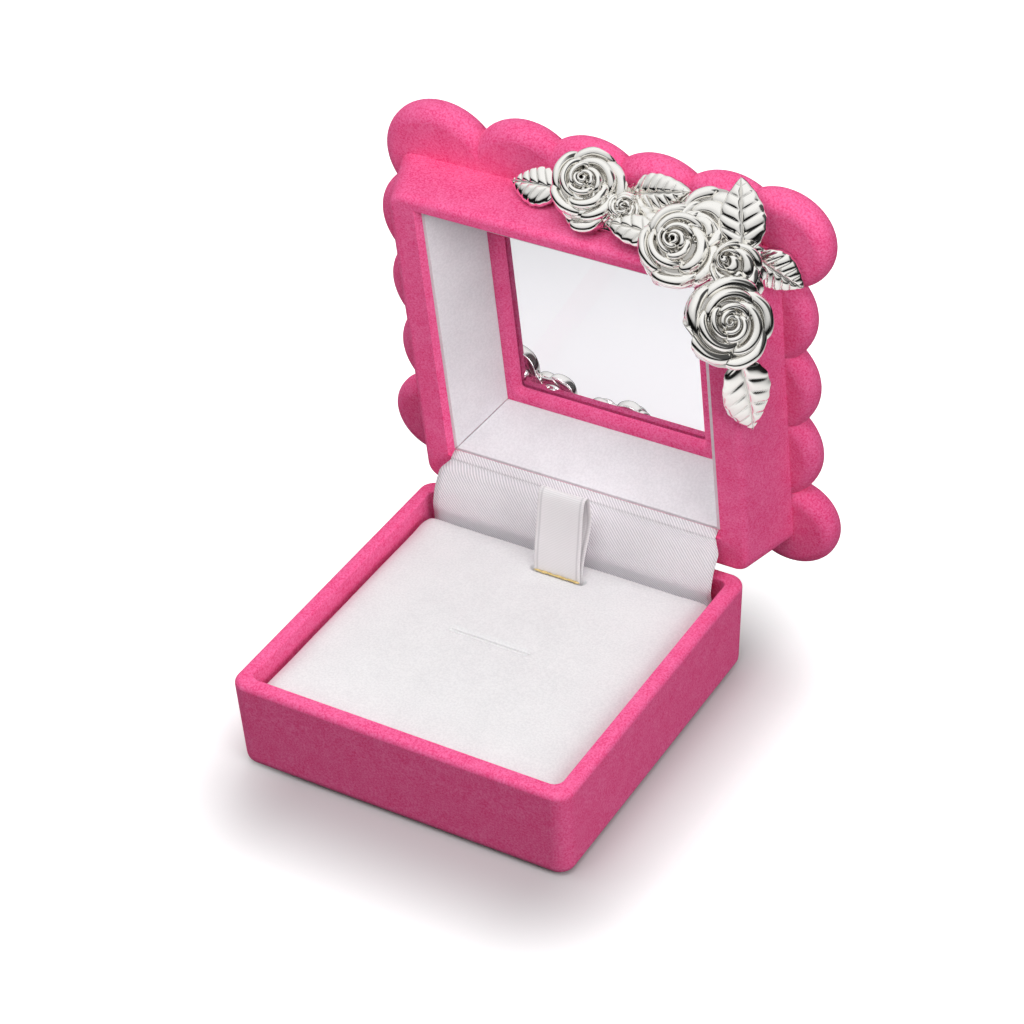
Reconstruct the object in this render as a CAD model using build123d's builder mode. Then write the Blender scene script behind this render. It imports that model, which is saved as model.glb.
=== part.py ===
from build123d import *

import os
from math import cos, radians, sin, sqrt

# Hinged jewellery box: a square tray with a padded insert, and a lid with a window,
# a scalloped outer plate and cast rose sprays, shown open.
# Row frame: X to the right, Y to the back, Z up, origin at the centre of the base's underside.
# Places in the lid are given as x, reach from the hinge line, and depth behind the rim.

# Base tray
box_width = 70.0
box_depth = 70.0
base_height = 19.5
base_wall = 3.0
base_floor = 2.4
base_draft = 0.6
corner_radius = 3.2
inner_corner_radius = 1.8
bottom_edge_radius = 2.2
rim_edge_radius = 1.2
rim_inner_radius = 0.4

# Padded insert
pad_recess = 2.1
pad_side_gap = 0.3
pad_rear_space = 3.1
pad_board_thickness = 0.8
pad_cover_thickness = 0.6
pad_edge_radius = 1.3
pad_crown = 0.4
slit_length = 16.0
slit_width = 0.5
slit_depth = 6.0
slit_position = -1.2
slit_lip_width = 0.7
slit_lip_height = 0.25

# Ribbon loop
ribbon_width = 10.0
ribbon_thickness = 0.35
ribbon_height = 16.6
ribbon_position_x = 1.4
ribbon_rear_inset = 6.8
ribbon_leg_spacing = 0.7
ribbon_lean = 3.0
ribbon_belly = 2.2
ribbon_tail = 9.0
ribbon_slit_margin = 0.2
glue_height = 0.35
glue_depth = 0.6

# Lid, measured from the hinge line with the lid closed
opening_angle = 83.7
lid_width = 69.4
lid_reach = 69.0
lid_gap = 0.2
frame_height = 11.5
frame_side_flare = 4.0
frame_front_flare = 0.8
frame_wall = 1.6
frame_web = 2.2
funnel_wall = 1.6
lid_corner_radius = 3.4
frame_edge_radius = 1.4
lid_opening = 59.0
lid_centre = 36.9

# Scalloped plate
plate_thickness = 6.0
plate_edge_radius = 2.8
plate_slab = 70.8
plate_skin = 1.8
plate_pocket_width = 73.0
plate_pocket_length = 65.0
plate_pocket_rim = 1.6
edge_lobe_radius = 11.0
edge_lobe_count = 4
front_lobe_spacing = 13.6
front_lobe_shift = 7.3
front_lobe_reach = 32.8
rear_lobe_spacing = 15.6
rear_lobe_reach = 33.5
side_lobe_radius = 11.5
side_lobe_spacing = 16.0
side_lobe_count = 3
left_lobe_x = 34.4
right_lobe_x = 32.4
front_left_lobe_radius = 11.8
front_left_lobe_x = 30.9
front_left_lobe_reach = 31.6
front_right_lobe_radius = 10.0
front_right_lobe_x = 38.0
front_right_lobe_reach = 33.2
rear_corner_lobe_radius = 9.4
rear_left_lobe_x = 40.2
rear_right_lobe_x = 37.4

# Window and lining
window_opening = 40.0
window_corner_radius = 0.8
window_lip_opening = 41.0
bezel_face = 2.4
bezel_thickness = 1.9
bezel_edge_radius = 1.5
bezel_depth = 12.6
pane_thickness = 1.5
seat_clearance = 0.1
liner_thickness = 0.6
liner_clearance = 0.05
liner_inset = 1.4
liner_mitre_gap = 0.1

# Hinge
hinge_length = 30.0
knuckle_count = 5
knuckle_gap = 0.15
knuckle_radius = 1.3
pin_radius = 0.6
pin_clearance = 0.04
leaf_thickness = 0.5
leaf_clearance = 0.05
groove_clearance = 0.25
base_flange_height = 8.0
lid_leaf_reach = 6.6
rivet_radius = 0.8
rivet_head_radius = 1.3
rivet_head_height = 0.4
rivet_head_clearance = 0.25
rivet_grip = 1.8
rivet_spacing = 10.0
rivet_count = 3

# Satin strip over the hinge
satin_side_gap = 1.8
satin_thickness = 0.4
satin_gap = 0.1
satin_tuck = 4.0
satin_bulge = 1.7
satin_reach = 7.2
satin_standoff = 0.3

# Castings
casting_clearance = 0.05
overhang_clearance = 0.3
rose_height = 4.6
bud_height = 3.4
casting_leaf_thickness = 1.5
front_rose_root = 4.5
rose_root_share = 0.55
rear_rose_height = 3.4
rear_web_thickness = 1.2
rear_web_width = 5.0
peg_radius = 1.0
peg_length = 3.3
peg_depth = 7.0
peg_clearance = 0.05
push_nut_radius = 2.2
push_nut_thickness = 0.4
push_nut_reach = 67.4
rear_peg_length = 3.0

# Roses and buds of the front spray: top, facing, radius, height
front_roses = [
    ((4.3, 80.2, 5.2), (0.28, 0.82, -0.50), 7.0, rose_height),
    ((12.2, 77.0, 4.0), (0.25, 0.78, -0.57), 2.9, bud_height),
    ((25.9, 78.5, -2.3), (0.34, 0.80, -0.49), 7.3, rose_height),
    ((29.4, 79.6, 3.5), (0.25, 0.75, -0.61), 6.2, bud_height),
    ((38.0, 76.6, -2.5), (0.50, 0.65, -0.57), 4.4, bud_height),
    ((41.8, 67.8, -7.0), (0.72, 0.50, -0.48), 7.8, rose_height),
]

# Leaves of the front spray: base, tip, facing, width
front_leaves = [
    ((-2.6, 73.4, 8.0), (-13.3, 71.9, 8.9), (0.1, 0.75, -0.65), 7.0),
    ((10.7, 75.3, 9.5), (22.9, 79.1, 9.5), (0.0, 0.55, -0.84), 6.4),
    ((20.5, 73.6, 2.6), (8.8, 73.1, 4.0), (0.2, 0.80, -0.55), 4.8),
    ((32.9, 71.3, 10.0), (32.0, 84.8, 10.0), (0.1, 0.1, -1.0), 7.4),
    ((36.0, 70.4, 7.6), (43.9, 64.1, 9.9), (0.3, 0.3, -0.9), 7.0),
    ((37.9, 55.8, -3.4), (37.6, 37.2, 0.1), (0.72, 0.30, -0.62), 8.8),
]

# Webs of the front spray: a strip along the front wall, a boss at the corner, a strip on the side wall
front_web_ends = (-4.0, 36.0)
front_web_section = [(69.2, 4.5), (71.5, 4.5), (75.0, 8.0), (77.5, 9.8), (77.5, 11.4), (69.2, 11.4)]
corner_boss_place = (34.5, 69.2, 6.0)
corner_boss_radius = 5.4
side_web_place = (36.9, 60.0, 0.8)
side_web_size = (3.4, 20.0, 8.4)
front_peg_places = [2.0, 24.0]

# Rear spray on the plate: x, reach, radius of each rose, then base, tip and width of each leaf
rear_roses = [(-24.5, 16.5, 7.8), (-15.0, 13.5, 5.5), (-30.0, 26.0, 6.0), (-4.2, 12.0, 4.0), (1.8, 12.8, 4.3)]
rear_leaves = [((4.5, 12.0), (13.0, 9.0), 4.6), ((-27.5, 24.0), (-28.0, 34.5), 5.0)]
rear_web_ends = [(-24.0, 15.0), (4.0, 12.0)]
rear_peg_places = [(-29.0, 20.0), (-4.2, 10.0)]

# Rounded steps of a rose, from the rim to the heart: share of the radius, share of the height
rose_steps = [
    (0.84, 0.0),
    (1.0, 0.3),
    (0.95, 0.56),
    (0.74, 0.5),
    (0.68, 0.82),
    (0.46, 0.76),
    (0.36, 1.0),
    (0.0, 0.94),
]

# Values worked out from the sizes above
pad_top = base_height - pad_recess
pad_rear = box_depth / 2 - base_wall - pad_rear_space
pad_front = -box_depth / 2 + base_wall + pad_side_gap
pad_length = pad_rear - pad_front
pad_middle = (pad_rear + pad_front) / 2
pad_width = box_width - 2 * (base_wall + pad_side_gap)
ribbon_position_y = pad_rear - ribbon_rear_inset
satin_width = box_width - 2 * (base_wall + satin_side_gap)
board_top = base_floor + pad_board_thickness
crown_radius = (pad_width**2 / 4 + pad_crown**2) / (2 * pad_crown)
crown_edge = pad_top - crown_radius + sqrt(crown_radius**2 - pad_width**2)
pad_corner_radius = inner_corner_radius - pad_side_gap
rear_slit_width = ribbon_leg_spacing + ribbon_thickness + 2 * ribbon_slit_margin
plate_back = frame_height + plate_thickness
frame_back_reach = lid_reach + frame_front_flare
hinge_y = box_depth / 2
hinge_z = base_height
tilt = radians(opening_angle)
bezel_outer = window_opening + 2 * bezel_face
liner_back = bezel_depth - seat_clearance
funnel_draw = (lid_opening / 2 - bezel_outer / 2 - liner_thickness - liner_clearance) / (liner_back - lid_gap)
seat_size = lid_opening - 2 * funnel_draw * (frame_height - lid_gap) + 2 * seat_clearance
pane_front = bezel_depth + bezel_thickness + seat_clearance
pane_back = pane_front + pane_thickness
groove_radius = knuckle_radius + groove_clearance
knuckle_length = (hinge_length - (knuckle_count - 1) * knuckle_gap) / knuckle_count
knuckle_pitch = knuckle_length + knuckle_gap
leaf_offset = leaf_clearance + leaf_thickness / 2
recess_length = hinge_length + 2 * knuckle_gap
notch_length = knuckle_length + 2 * knuckle_gap
recess_depth = leaf_thickness + 2 * leaf_clearance
rivet_hole_radius = rivet_radius + leaf_clearance
base_rivet_z = hinge_z - leaf_thickness - base_flange_height / 2
flange_face = hinge_y - base_wall - leaf_clearance - leaf_thickness
lid_rivet_reach = hinge_y - flange_face + rivet_head_radius + rivet_head_clearance
knuckle_places = [(i - (knuckle_count - 1) / 2) * knuckle_pitch for i in range(knuckle_count)]

# The open lid: local x to the right, local y towards the hinge, local z from the rim to the plate
lid_plane = Plane(origin=(0, hinge_y, hinge_z), x_dir=(1, 0, 0), z_dir=(0, sin(tilt), cos(tilt)))


def save(piece, name):
    """Label a finished piece of the base and write it as its own STEP file."""
    piece.part.label = name
    export_step(piece.part, f"parts/{name}.step")


def save_on_lid(piece, name):
    """Move a piece built in the lid's own frame onto the open lid and write its STEP file."""
    placed = lid_plane.location * piece.part
    placed.label = name
    export_step(placed, f"parts/{name}.step")


def local(x, reach, depth):
    """Place or direction of the lid as a vector of the lid's own frame."""
    return Vector(x, -reach, depth)


def pad_height(y):
    """Height of the crowned pad at a distance in front of or behind its middle."""
    return pad_top - crown_radius + sqrt(crown_radius**2 - (y - pad_middle) ** 2)


def cushion(inset):
    """Crowned form of the pad above its board, drawn in by an inset on all sides but the underside."""
    with BuildPart() as form:
        with BuildSketch(Plane.XY.offset(board_top)):
            with Locations((0, pad_middle)):
                RectangleRounded(pad_width - 2 * inset, pad_length - 2 * inset, pad_corner_radius - inset)
        extrude(amount=pad_top)
        with BuildSketch(Plane.XZ.offset(-pad_middle)):
            with BuildLine():
                Polyline((0, pad_top - inset), (0, 0), (pad_width, 0), (pad_width, crown_edge - inset))
                RadiusArc((0, pad_top - inset), (pad_width, crown_edge - inset), crown_radius - inset)
            make_face()
        revolve(axis=Axis((0, pad_middle, 0), (0, 0, 1)), mode=Mode.INTERSECT)
        fillet(form.faces().sort_by(Axis.Z)[-1].edges(), pad_edge_radius - inset)
    return form.part


def slits(bottom):
    """Centre slit and ribbon slit of the pad, cut down to a given height."""
    with BuildPart() as form:
        with BuildSketch(Plane.XY.offset(bottom)):
            with Locations((0, slit_position)):
                SlotOverall(slit_length, slit_width)
        extrude(amount=base_height)
        with BuildSketch(Plane.XY.offset(min(bottom, pad_top - ribbon_tail - ribbon_slit_margin))):
            with Locations((ribbon_position_x, ribbon_position_y)):
                Rectangle(ribbon_width + 2 * ribbon_slit_margin, rear_slit_width)
        extrude(amount=base_height)
    return form.part


def frame_form(inset, front, back):
    """Outward-leaning body of the lid frame between two depths, drawn in by an inset."""
    with BuildPart() as form:
        for depth in (front, back):
            share = (depth - lid_gap) / (frame_height - lid_gap)
            reach = lid_reach + frame_front_flare * share
            width = lid_width + 2 * frame_side_flare * share
            with BuildSketch(Plane.XY.offset(depth)):
                with Locations((0, -reach / 2)):
                    RectangleRounded(width - 2 * inset, reach - 2 * inset, lid_corner_radius - inset)
        loft()
    return form.part


def funnel_form(inset, front, back):
    """Square funnel along the lid's opening between two depths, drawn in by an inset."""
    with BuildPart() as form:
        for depth in (front, back):
            side = lid_opening - 2 * funnel_draw * (depth - lid_gap) - 2 * inset
            with BuildSketch(Plane.XY.offset(depth)):
                with Locations((0, -lid_centre)):
                    Rectangle(side, side)
        loft()
    return form.part


def lobe(radius):
    """Round lobe of the plate with both edges rounded over."""
    with BuildPart() as form:
        Cylinder(radius, plate_thickness)
        fillet(form.edges().filter_by(GeomType.CIRCLE), plate_edge_radius)
    return form.part


def knuckle_row(places, radius, length):
    """Barrels along the hinge axis, centred at the given places."""
    with BuildPart() as form:
        for place in places:
            with Locations(Location((place, 0, 0), (0, 90, 0))):
                Cylinder(radius, length)
    return form.part


def rose(top, facing, radius, height, root):
    """Open rose turned from rounded steps, its top at a place of the lid, with a root behind it."""
    toward = local(*facing).normalized()
    origin = local(*top) - toward * height
    across = Plane(origin=origin, z_dir=toward).x_dir
    with BuildPart() as form:
        with BuildSketch(Plane(origin=origin, x_dir=across, z_dir=across.cross(toward))):
            with BuildLine():
                Polyline(
                    (0, -root),
                    (radius * rose_root_share, -root),
                    *[(radius * a, height * b) for a, b in rose_steps],
                    close=True,
                )
            make_face()
        revolve(axis=Axis(origin, toward))
    return form.part


def leaf(base, tip, facing, width):
    """Pointed leaf from its base to its tip, lying across a facing direction."""
    along = local(*tip) - local(*base)
    toward = local(*facing)
    normal = toward - along * (toward.dot(along) / along.length**2)
    with BuildPart() as form:
        with BuildSketch(Plane(origin=local(*base), x_dir=along, z_dir=normal)):
            with BuildLine():
                ThreePointArc((0, 0), (along.length / 2, width / 2), (along.length, 0))
                ThreePointArc((along.length, 0), (along.length / 2, -width / 2), (0, 0))
            make_face()
        extrude(amount=casting_leaf_thickness / 2, both=True)
    return form.part


os.makedirs("parts", exist_ok=True)

above = (Align.CENTER, Align.CENTER, Align.MIN)
below = (Align.CENTER, Align.CENTER, Align.MAX)
keep_width = box_width + 2 * overhang_clearance
keep_depth = box_depth + 2 * overhang_clearance
base_hinge_places = knuckle_places[0::2]
lid_hinge_places = knuckle_places[1::2]
hinge_location = Location((0, hinge_y, hinge_z))

# Base tray: tapered shell with a rounded foot, a rim and a seat for the hinge
with BuildPart() as base_shell:
    with BuildSketch(Plane.XY):
        RectangleRounded(box_width - 2 * base_draft, box_depth - 2 * base_draft, corner_radius)
    with BuildSketch(Plane.XY.offset(base_height)):
        RectangleRounded(box_width, box_depth, corner_radius)
    loft()
    fillet(base_shell.faces().sort_by(Axis.Z)[0].edges(), bottom_edge_radius)
    fillet(base_shell.faces().sort_by(Axis.Z)[-1].edges().sort_by(Axis.Y)[:-3], rim_edge_radius)
    with BuildSketch(Plane.XY.offset(base_floor)):
        RectangleRounded(box_width - 2 * base_wall, box_depth - 2 * base_wall, inner_corner_radius)
    extrude(amount=base_height, mode=Mode.SUBTRACT)
    fillet(base_shell.faces().sort_by(Axis.Z)[-1].inner_wires()[0].edges(), rim_inner_radius)
    with Locations(hinge_location):
        add(knuckle_row([0], groove_radius, recess_length), mode=Mode.SUBTRACT)
    with Locations((0, hinge_y - base_wall / 2, hinge_z)):
        Box(recess_length, base_wall, 2 * recess_depth, mode=Mode.SUBTRACT)
    with Locations(Location((0, hinge_y - base_wall, base_rivet_z), (90, 0, 0))):
        with GridLocations(rivet_spacing, 1, rivet_count, 1):
            Cylinder(rivet_hole_radius, 2 * rivet_grip, mode=Mode.SUBTRACT)
save(base_shell, "base_shell")

# Stiffener board under the pad
with BuildPart() as pad_board:
    with BuildSketch(Plane.XY.offset(base_floor)):
        with Locations((0, pad_middle)):
            RectangleRounded(pad_width, pad_length, pad_corner_radius)
    extrude(amount=pad_board_thickness)
save(pad_board, "pad_board")

# Foam block, slit for a ring and for the ribbon's tails
with BuildPart() as pad_foam:
    add(cushion(pad_cover_thickness))
    add(slits(pad_top - slit_depth), mode=Mode.SUBTRACT)
save(pad_foam, "pad_foam")

# Velvet cover: crowned, drawn in at the edges, with thin raised lips along the centre slit
with BuildPart() as pad_cover:
    add(cushion(0))
    with BuildSketch(Plane.XY.offset(pad_top - pad_cover_thickness)):
        with Locations((0, slit_position)):
            SlotOverall(slit_length + 2 * slit_lip_width, slit_width + 2 * slit_lip_width)
    extrude(amount=pad_cover_thickness + slit_lip_height)
    add(cushion(pad_cover_thickness), mode=Mode.SUBTRACT)
    add(slits(pad_top - slit_depth), mode=Mode.SUBTRACT)
save(pad_cover, "pad_cover")

# Ribbon loop: straight front leg, bowed rear leg, both tails down in the ribbon slit
ribbon_front = ribbon_position_y - ribbon_leg_spacing / 2
ribbon_back = ribbon_position_y + ribbon_leg_spacing / 2
ribbon_foot = pad_height(ribbon_position_y - glue_depth - ribbon_leg_spacing)
with BuildPart() as ribbon_loop:
    with BuildSketch(Plane.YZ.offset(ribbon_position_x)):
        with BuildLine():
            Line((ribbon_front, pad_top - ribbon_tail), (ribbon_front, ribbon_foot))
            Spline(
                (ribbon_front, ribbon_foot),
                (ribbon_front + ribbon_lean * 0.5, ribbon_foot + ribbon_height * 0.58),
                (ribbon_front + ribbon_lean, ribbon_foot + ribbon_height),
                (ribbon_back + ribbon_lean * 0.6 + ribbon_belly, ribbon_foot + ribbon_height * 0.62),
                (ribbon_back, ribbon_foot),
                tangents=((0, 1), (0, -1)),
            )
            Line((ribbon_back, ribbon_foot), (ribbon_back, pad_top - ribbon_tail))
        trace(line_width=ribbon_thickness)
    extrude(amount=ribbon_width / 2, both=True)
save(ribbon_loop, "ribbon_loop")

# Thin line of glue in front of the ribbon's foot
with BuildPart() as ribbon_glue_bead:
    bead_front = ribbon_front - ribbon_thickness / 2 - casting_clearance
    with BuildSketch(Plane.YZ.offset(ribbon_position_x)):
        with BuildLine():
            bead_top = (bead_front, ribbon_foot + glue_height)
            RadiusArc((bead_front - glue_depth, ribbon_foot), bead_top, glue_depth)
            Line(bead_top, (bead_front, ribbon_foot))
            Line((bead_front, ribbon_foot), (bead_front - glue_depth, ribbon_foot))
        make_face()
    extrude(amount=ribbon_width / 2, both=True)
save(ribbon_glue_bead, "ribbon_glue_bead")

# Hinge leaf of the base: a plate let into the top of the back wall and a flange down its inner face
with BuildPart() as hinge_base_leaf:
    with Locations((0, (flange_face + hinge_y) / 2, hinge_z - leaf_offset)):
        Box(hinge_length, hinge_y - flange_face, leaf_thickness)
    with Locations((0, flange_face + leaf_thickness / 2, hinge_z - leaf_clearance - base_flange_height / 2)):
        Box(hinge_length, leaf_thickness, base_flange_height)
    with Locations(hinge_location):
        add(knuckle_row(lid_hinge_places, groove_radius, notch_length), mode=Mode.SUBTRACT)
        add(knuckle_row(base_hinge_places, knuckle_radius, knuckle_length))
        add(knuckle_row([0], pin_radius + pin_clearance, recess_length), mode=Mode.SUBTRACT)
    with Locations(Location((0, flange_face, base_rivet_z), (90, 0, 0))):
        with GridLocations(rivet_spacing, 1, rivet_count, 1):
            Cylinder(rivet_hole_radius, 2 * rivet_grip, mode=Mode.SUBTRACT)
save(hinge_base_leaf, "hinge_base_leaf")

# Hinge pin
with BuildPart() as hinge_pin:
    with Locations(hinge_location):
        add(knuckle_row([0], pin_radius, hinge_length))
save(hinge_pin, "hinge_pin")

# Rivets of the base leaf, set into the back wall
with BuildPart() as hinge_base_rivets:
    with Locations(Location((0, flange_face, base_rivet_z), (90, 0, 0))):
        with GridLocations(rivet_spacing, 1, rivet_count, 1):
            Cylinder(rivet_head_radius, rivet_head_height, align=above)
            Cylinder(rivet_radius, leaf_thickness + rivet_grip - leaf_clearance, align=below)
save(hinge_base_rivets, "hinge_base_rivets")

# Satin strip: from behind the pad up to the lid's lining, bowed away from the hinge
satin_foot = Vector(pad_rear + satin_gap + satin_thickness / 2, pad_top - pad_edge_radius, 0)
satin_place = lid_plane.from_local_coords(local(0, satin_reach, -satin_standoff))
satin_end = Vector(satin_place.Y, satin_place.Z, 0)
satin_chord = satin_end - satin_foot
satin_normal = Vector(-satin_chord.Y, satin_chord.X, 0).normalized()
satin_middle = satin_foot + satin_chord * 0.5 + satin_normal * satin_bulge
with BuildPart() as satin_hinge_strip:
    with BuildSketch(Plane.YZ):
        with BuildLine():
            Line((satin_foot.X, satin_foot.Y - satin_tuck), (satin_foot.X, satin_foot.Y))
            Spline((satin_foot.X, satin_foot.Y), (satin_middle.X, satin_middle.Y), (satin_end.X, satin_end.Y))
        trace(line_width=satin_thickness)
    extrude(amount=satin_width / 2, both=True)
save(satin_hinge_strip, "satin_hinge_strip")

# Lid frame: outward-leaning walls, a broad rim, and a funnel round the opening, hollow behind
with BuildPart() as lid_frame:
    add(frame_form(0, lid_gap, frame_height))
    fillet(lid_frame.faces().sort_by(Axis.Z)[0].edges().sort_by(Axis.Y)[:-3], frame_edge_radius)
    add(frame_form(frame_wall, lid_gap + frame_web, frame_height), mode=Mode.SUBTRACT)
    add(funnel_form(-funnel_wall, lid_gap + frame_web, frame_height))
    add(funnel_form(0, lid_gap, frame_height), mode=Mode.SUBTRACT)
    add(knuckle_row([0], groove_radius, recess_length), mode=Mode.SUBTRACT)
    with Locations((0, -lid_leaf_reach / 2, lid_gap)):
        Box(recess_length, lid_leaf_reach + 2 * leaf_clearance, 2 * recess_depth, mode=Mode.SUBTRACT)
    with Locations((0, -lid_rivet_reach, lid_gap)):
        with GridLocations(rivet_spacing, 1, rivet_count, 1):
            Cylinder(rivet_hole_radius, 3 * frame_web, mode=Mode.SUBTRACT)
    for x in front_peg_places:
        with Locations(Location((x, -lid_reach, peg_depth), (90, 0, 0))):
            Cylinder(peg_radius + peg_clearance, 2 * peg_length, mode=Mode.SUBTRACT)
save_on_lid(lid_frame, "lid_frame")

# Hinge leaf of the lid: flat in the rim, with the two barrels between those of the base
with BuildPart() as hinge_lid_leaf:
    with Locations((0, -lid_leaf_reach / 2, lid_gap + leaf_offset)):
        Box(hinge_length, lid_leaf_reach, leaf_thickness)
    add(knuckle_row(base_hinge_places, groove_radius, notch_length), mode=Mode.SUBTRACT)
    add(knuckle_row(lid_hinge_places, knuckle_radius, knuckle_length))
    add(knuckle_row([0], pin_radius + pin_clearance, recess_length), mode=Mode.SUBTRACT)
    with Locations((0, -lid_rivet_reach, lid_gap)):
        with GridLocations(rivet_spacing, 1, rivet_count, 1):
            Cylinder(rivet_hole_radius, 2 * rivet_grip, mode=Mode.SUBTRACT)
save_on_lid(hinge_lid_leaf, "hinge_lid_leaf")

# Rivets of the lid leaf, through the rim and spread behind it
with BuildPart() as hinge_lid_rivets:
    with Locations((0, -lid_rivet_reach, lid_gap + leaf_clearance)):
        with GridLocations(rivet_spacing, 1, rivet_count, 1):
            Cylinder(rivet_head_radius, rivet_head_height, align=below)
            Cylinder(rivet_radius, frame_web + rivet_head_height, align=above)
    with Locations((0, -lid_rivet_reach, lid_gap + frame_web + leaf_clearance)):
        with GridLocations(rivet_spacing, 1, rivet_count, 1):
            Cylinder(rivet_head_radius, rivet_head_height, align=above)
save_on_lid(hinge_lid_rivets, "hinge_lid_rivets")

# Scalloped plate: rounded lobes round a slab, hollow behind the frame, with a stepped window opening
with BuildPart() as scallop_plate:
    with Locations((0, -lid_centre, frame_height + plate_thickness / 2)):
        Box(plate_slab, plate_slab, plate_thickness)
        with Locations((front_lobe_shift, -front_lobe_reach)):
            with GridLocations(front_lobe_spacing, 1, edge_lobe_count, 1):
                add(lobe(edge_lobe_radius))
        with Locations((0, rear_lobe_reach)):
            with GridLocations(rear_lobe_spacing, 1, edge_lobe_count, 1):
                add(lobe(edge_lobe_radius))
        with Locations((-left_lobe_x, 0), (right_lobe_x, 0)):
            with GridLocations(1, side_lobe_spacing, 1, side_lobe_count):
                add(lobe(side_lobe_radius))
        with Locations((-front_left_lobe_x, -front_left_lobe_reach)):
            add(lobe(front_left_lobe_radius))
        with Locations((front_right_lobe_x, -front_right_lobe_reach)):
            add(lobe(front_right_lobe_radius))
        with Locations((-rear_left_lobe_x, rear_lobe_reach), (rear_right_lobe_x, rear_lobe_reach)):
            add(lobe(rear_corner_lobe_radius))
    with BuildSketch(Plane.XY.offset(frame_height)):
        with Locations((0, -frame_back_reach / 2)):
            RectangleRounded(plate_pocket_width, plate_pocket_length, lid_corner_radius)
        with Locations((0, -lid_centre)):
            Rectangle(seat_size + 2 * plate_pocket_rim, seat_size + 2 * plate_pocket_rim, mode=Mode.SUBTRACT)
    extrude(amount=plate_thickness - plate_skin, mode=Mode.SUBTRACT)
    with BuildSketch(Plane.XY.offset(frame_height)):
        with Locations((0, -lid_centre)):
            Rectangle(seat_size, seat_size)
    extrude(amount=pane_back + seat_clearance - frame_height, mode=Mode.SUBTRACT)
    with BuildSketch(Plane.XY.offset(frame_height)):
        with Locations((0, -lid_centre)):
            RectangleRounded(window_lip_opening, window_lip_opening, window_corner_radius)
    extrude(amount=2 * plate_thickness, mode=Mode.SUBTRACT)
    for x, reach in rear_peg_places:
        with Locations((x, -reach, plate_back)):
            Cylinder(peg_radius + peg_clearance, 2 * (rear_peg_length + peg_clearance), mode=Mode.SUBTRACT)
save_on_lid(scallop_plate, "scallop_plate")

# Bezel round the window, its inner edge rounded over
with BuildPart() as window_bezel:
    with BuildSketch(Plane.XY.offset(bezel_depth)):
        with Locations((0, -lid_centre)):
            Rectangle(seat_size - 2 * seat_clearance, seat_size - 2 * seat_clearance)
            RectangleRounded(window_opening, window_opening, window_corner_radius, mode=Mode.SUBTRACT)
    extrude(amount=bezel_thickness)
    bezel_front = window_bezel.faces().sort_by(Axis.Z)[0]
    fillet(bezel_front.inner_wires()[0].edges(), bezel_edge_radius)
save_on_lid(window_bezel, "window_bezel")

# Clear pane between the bezel and the plate's lip
with BuildPart() as window_pane:
    with Locations((0, -lid_centre, (pane_front + pane_back) / 2)):
        Box(seat_size - 2 * seat_clearance, seat_size - 2 * seat_clearance, pane_thickness)
save_on_lid(window_pane, "window_pane")

# Lining cards on the four slopes of the funnel, mitred at the corners
liner_names = ["liner_right", "liner_rear", "liner_left", "liner_front"]
for quarter, liner_name in enumerate(liner_names):
    with BuildPart() as liner:
        add(funnel_form(liner_clearance, lid_gap + liner_inset, liner_back))
        add(funnel_form(liner_clearance + liner_thickness, lid_gap, bezel_depth), mode=Mode.SUBTRACT)
        with BuildSketch(Plane.XY):
            with Locations(Location((0, -lid_centre, 0), (0, 0, 90 * quarter))):
                Polygon(
                    (liner_mitre_gap, 0),
                    (lid_opening + liner_mitre_gap, lid_opening),
                    (lid_opening + liner_mitre_gap, -lid_opening),
                    align=None,
                )
        extrude(amount=bezel_depth, mode=Mode.INTERSECT)
    save_on_lid(liner, liner_name)

# Front spray: roses, buds and leaves nested outside the lid's front right corner
with BuildPart() as rose_spray_front:
    with BuildSketch(Plane.YZ.offset(front_web_ends[0])):
        Polygon(*[(-reach, depth) for reach, depth in front_web_section], align=None)
    extrude(amount=front_web_ends[1] - front_web_ends[0])
    with Locations(local(*corner_boss_place)):
        Sphere(corner_boss_radius)
    with Locations(local(*side_web_place)):
        Box(*side_web_size)
    for top, facing, radius, height in front_roses:
        add(rose(top, facing, radius, height, front_rose_root))
    for base, tip, facing, width in front_leaves:
        add(leaf(base, tip, facing, width))
    add(frame_form(-casting_clearance, -lid_gap, frame_height), mode=Mode.SUBTRACT)
    with Locations((0, -box_depth / 2, frame_height - casting_clearance)):
        Box(2 * box_width, 2 * box_depth, box_depth, align=above, mode=Mode.SUBTRACT)
    with Locations((0, -box_depth / 2, lid_gap)):
        Box(keep_width, keep_depth, box_depth, align=below, mode=Mode.SUBTRACT)
    for x in front_peg_places:
        with Locations(Location((x, -lid_reach, peg_depth), (90, 0, 0))):
            Cylinder(peg_radius, 2 * (peg_length - peg_clearance))
save_on_lid(rose_spray_front, "rose_spray_front")

# Push nuts that hold the front spray's pegs inside the frame
with BuildPart() as spray_push_nuts:
    for x in front_peg_places:
        with Locations(Location((x, -push_nut_reach, peg_depth), (90, 0, 0))):
            Cylinder(push_nut_radius, push_nut_thickness)
            Cylinder(peg_radius + peg_clearance, 2 * push_nut_thickness, mode=Mode.SUBTRACT)
save_on_lid(spray_push_nuts, "spray_push_nuts")

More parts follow.
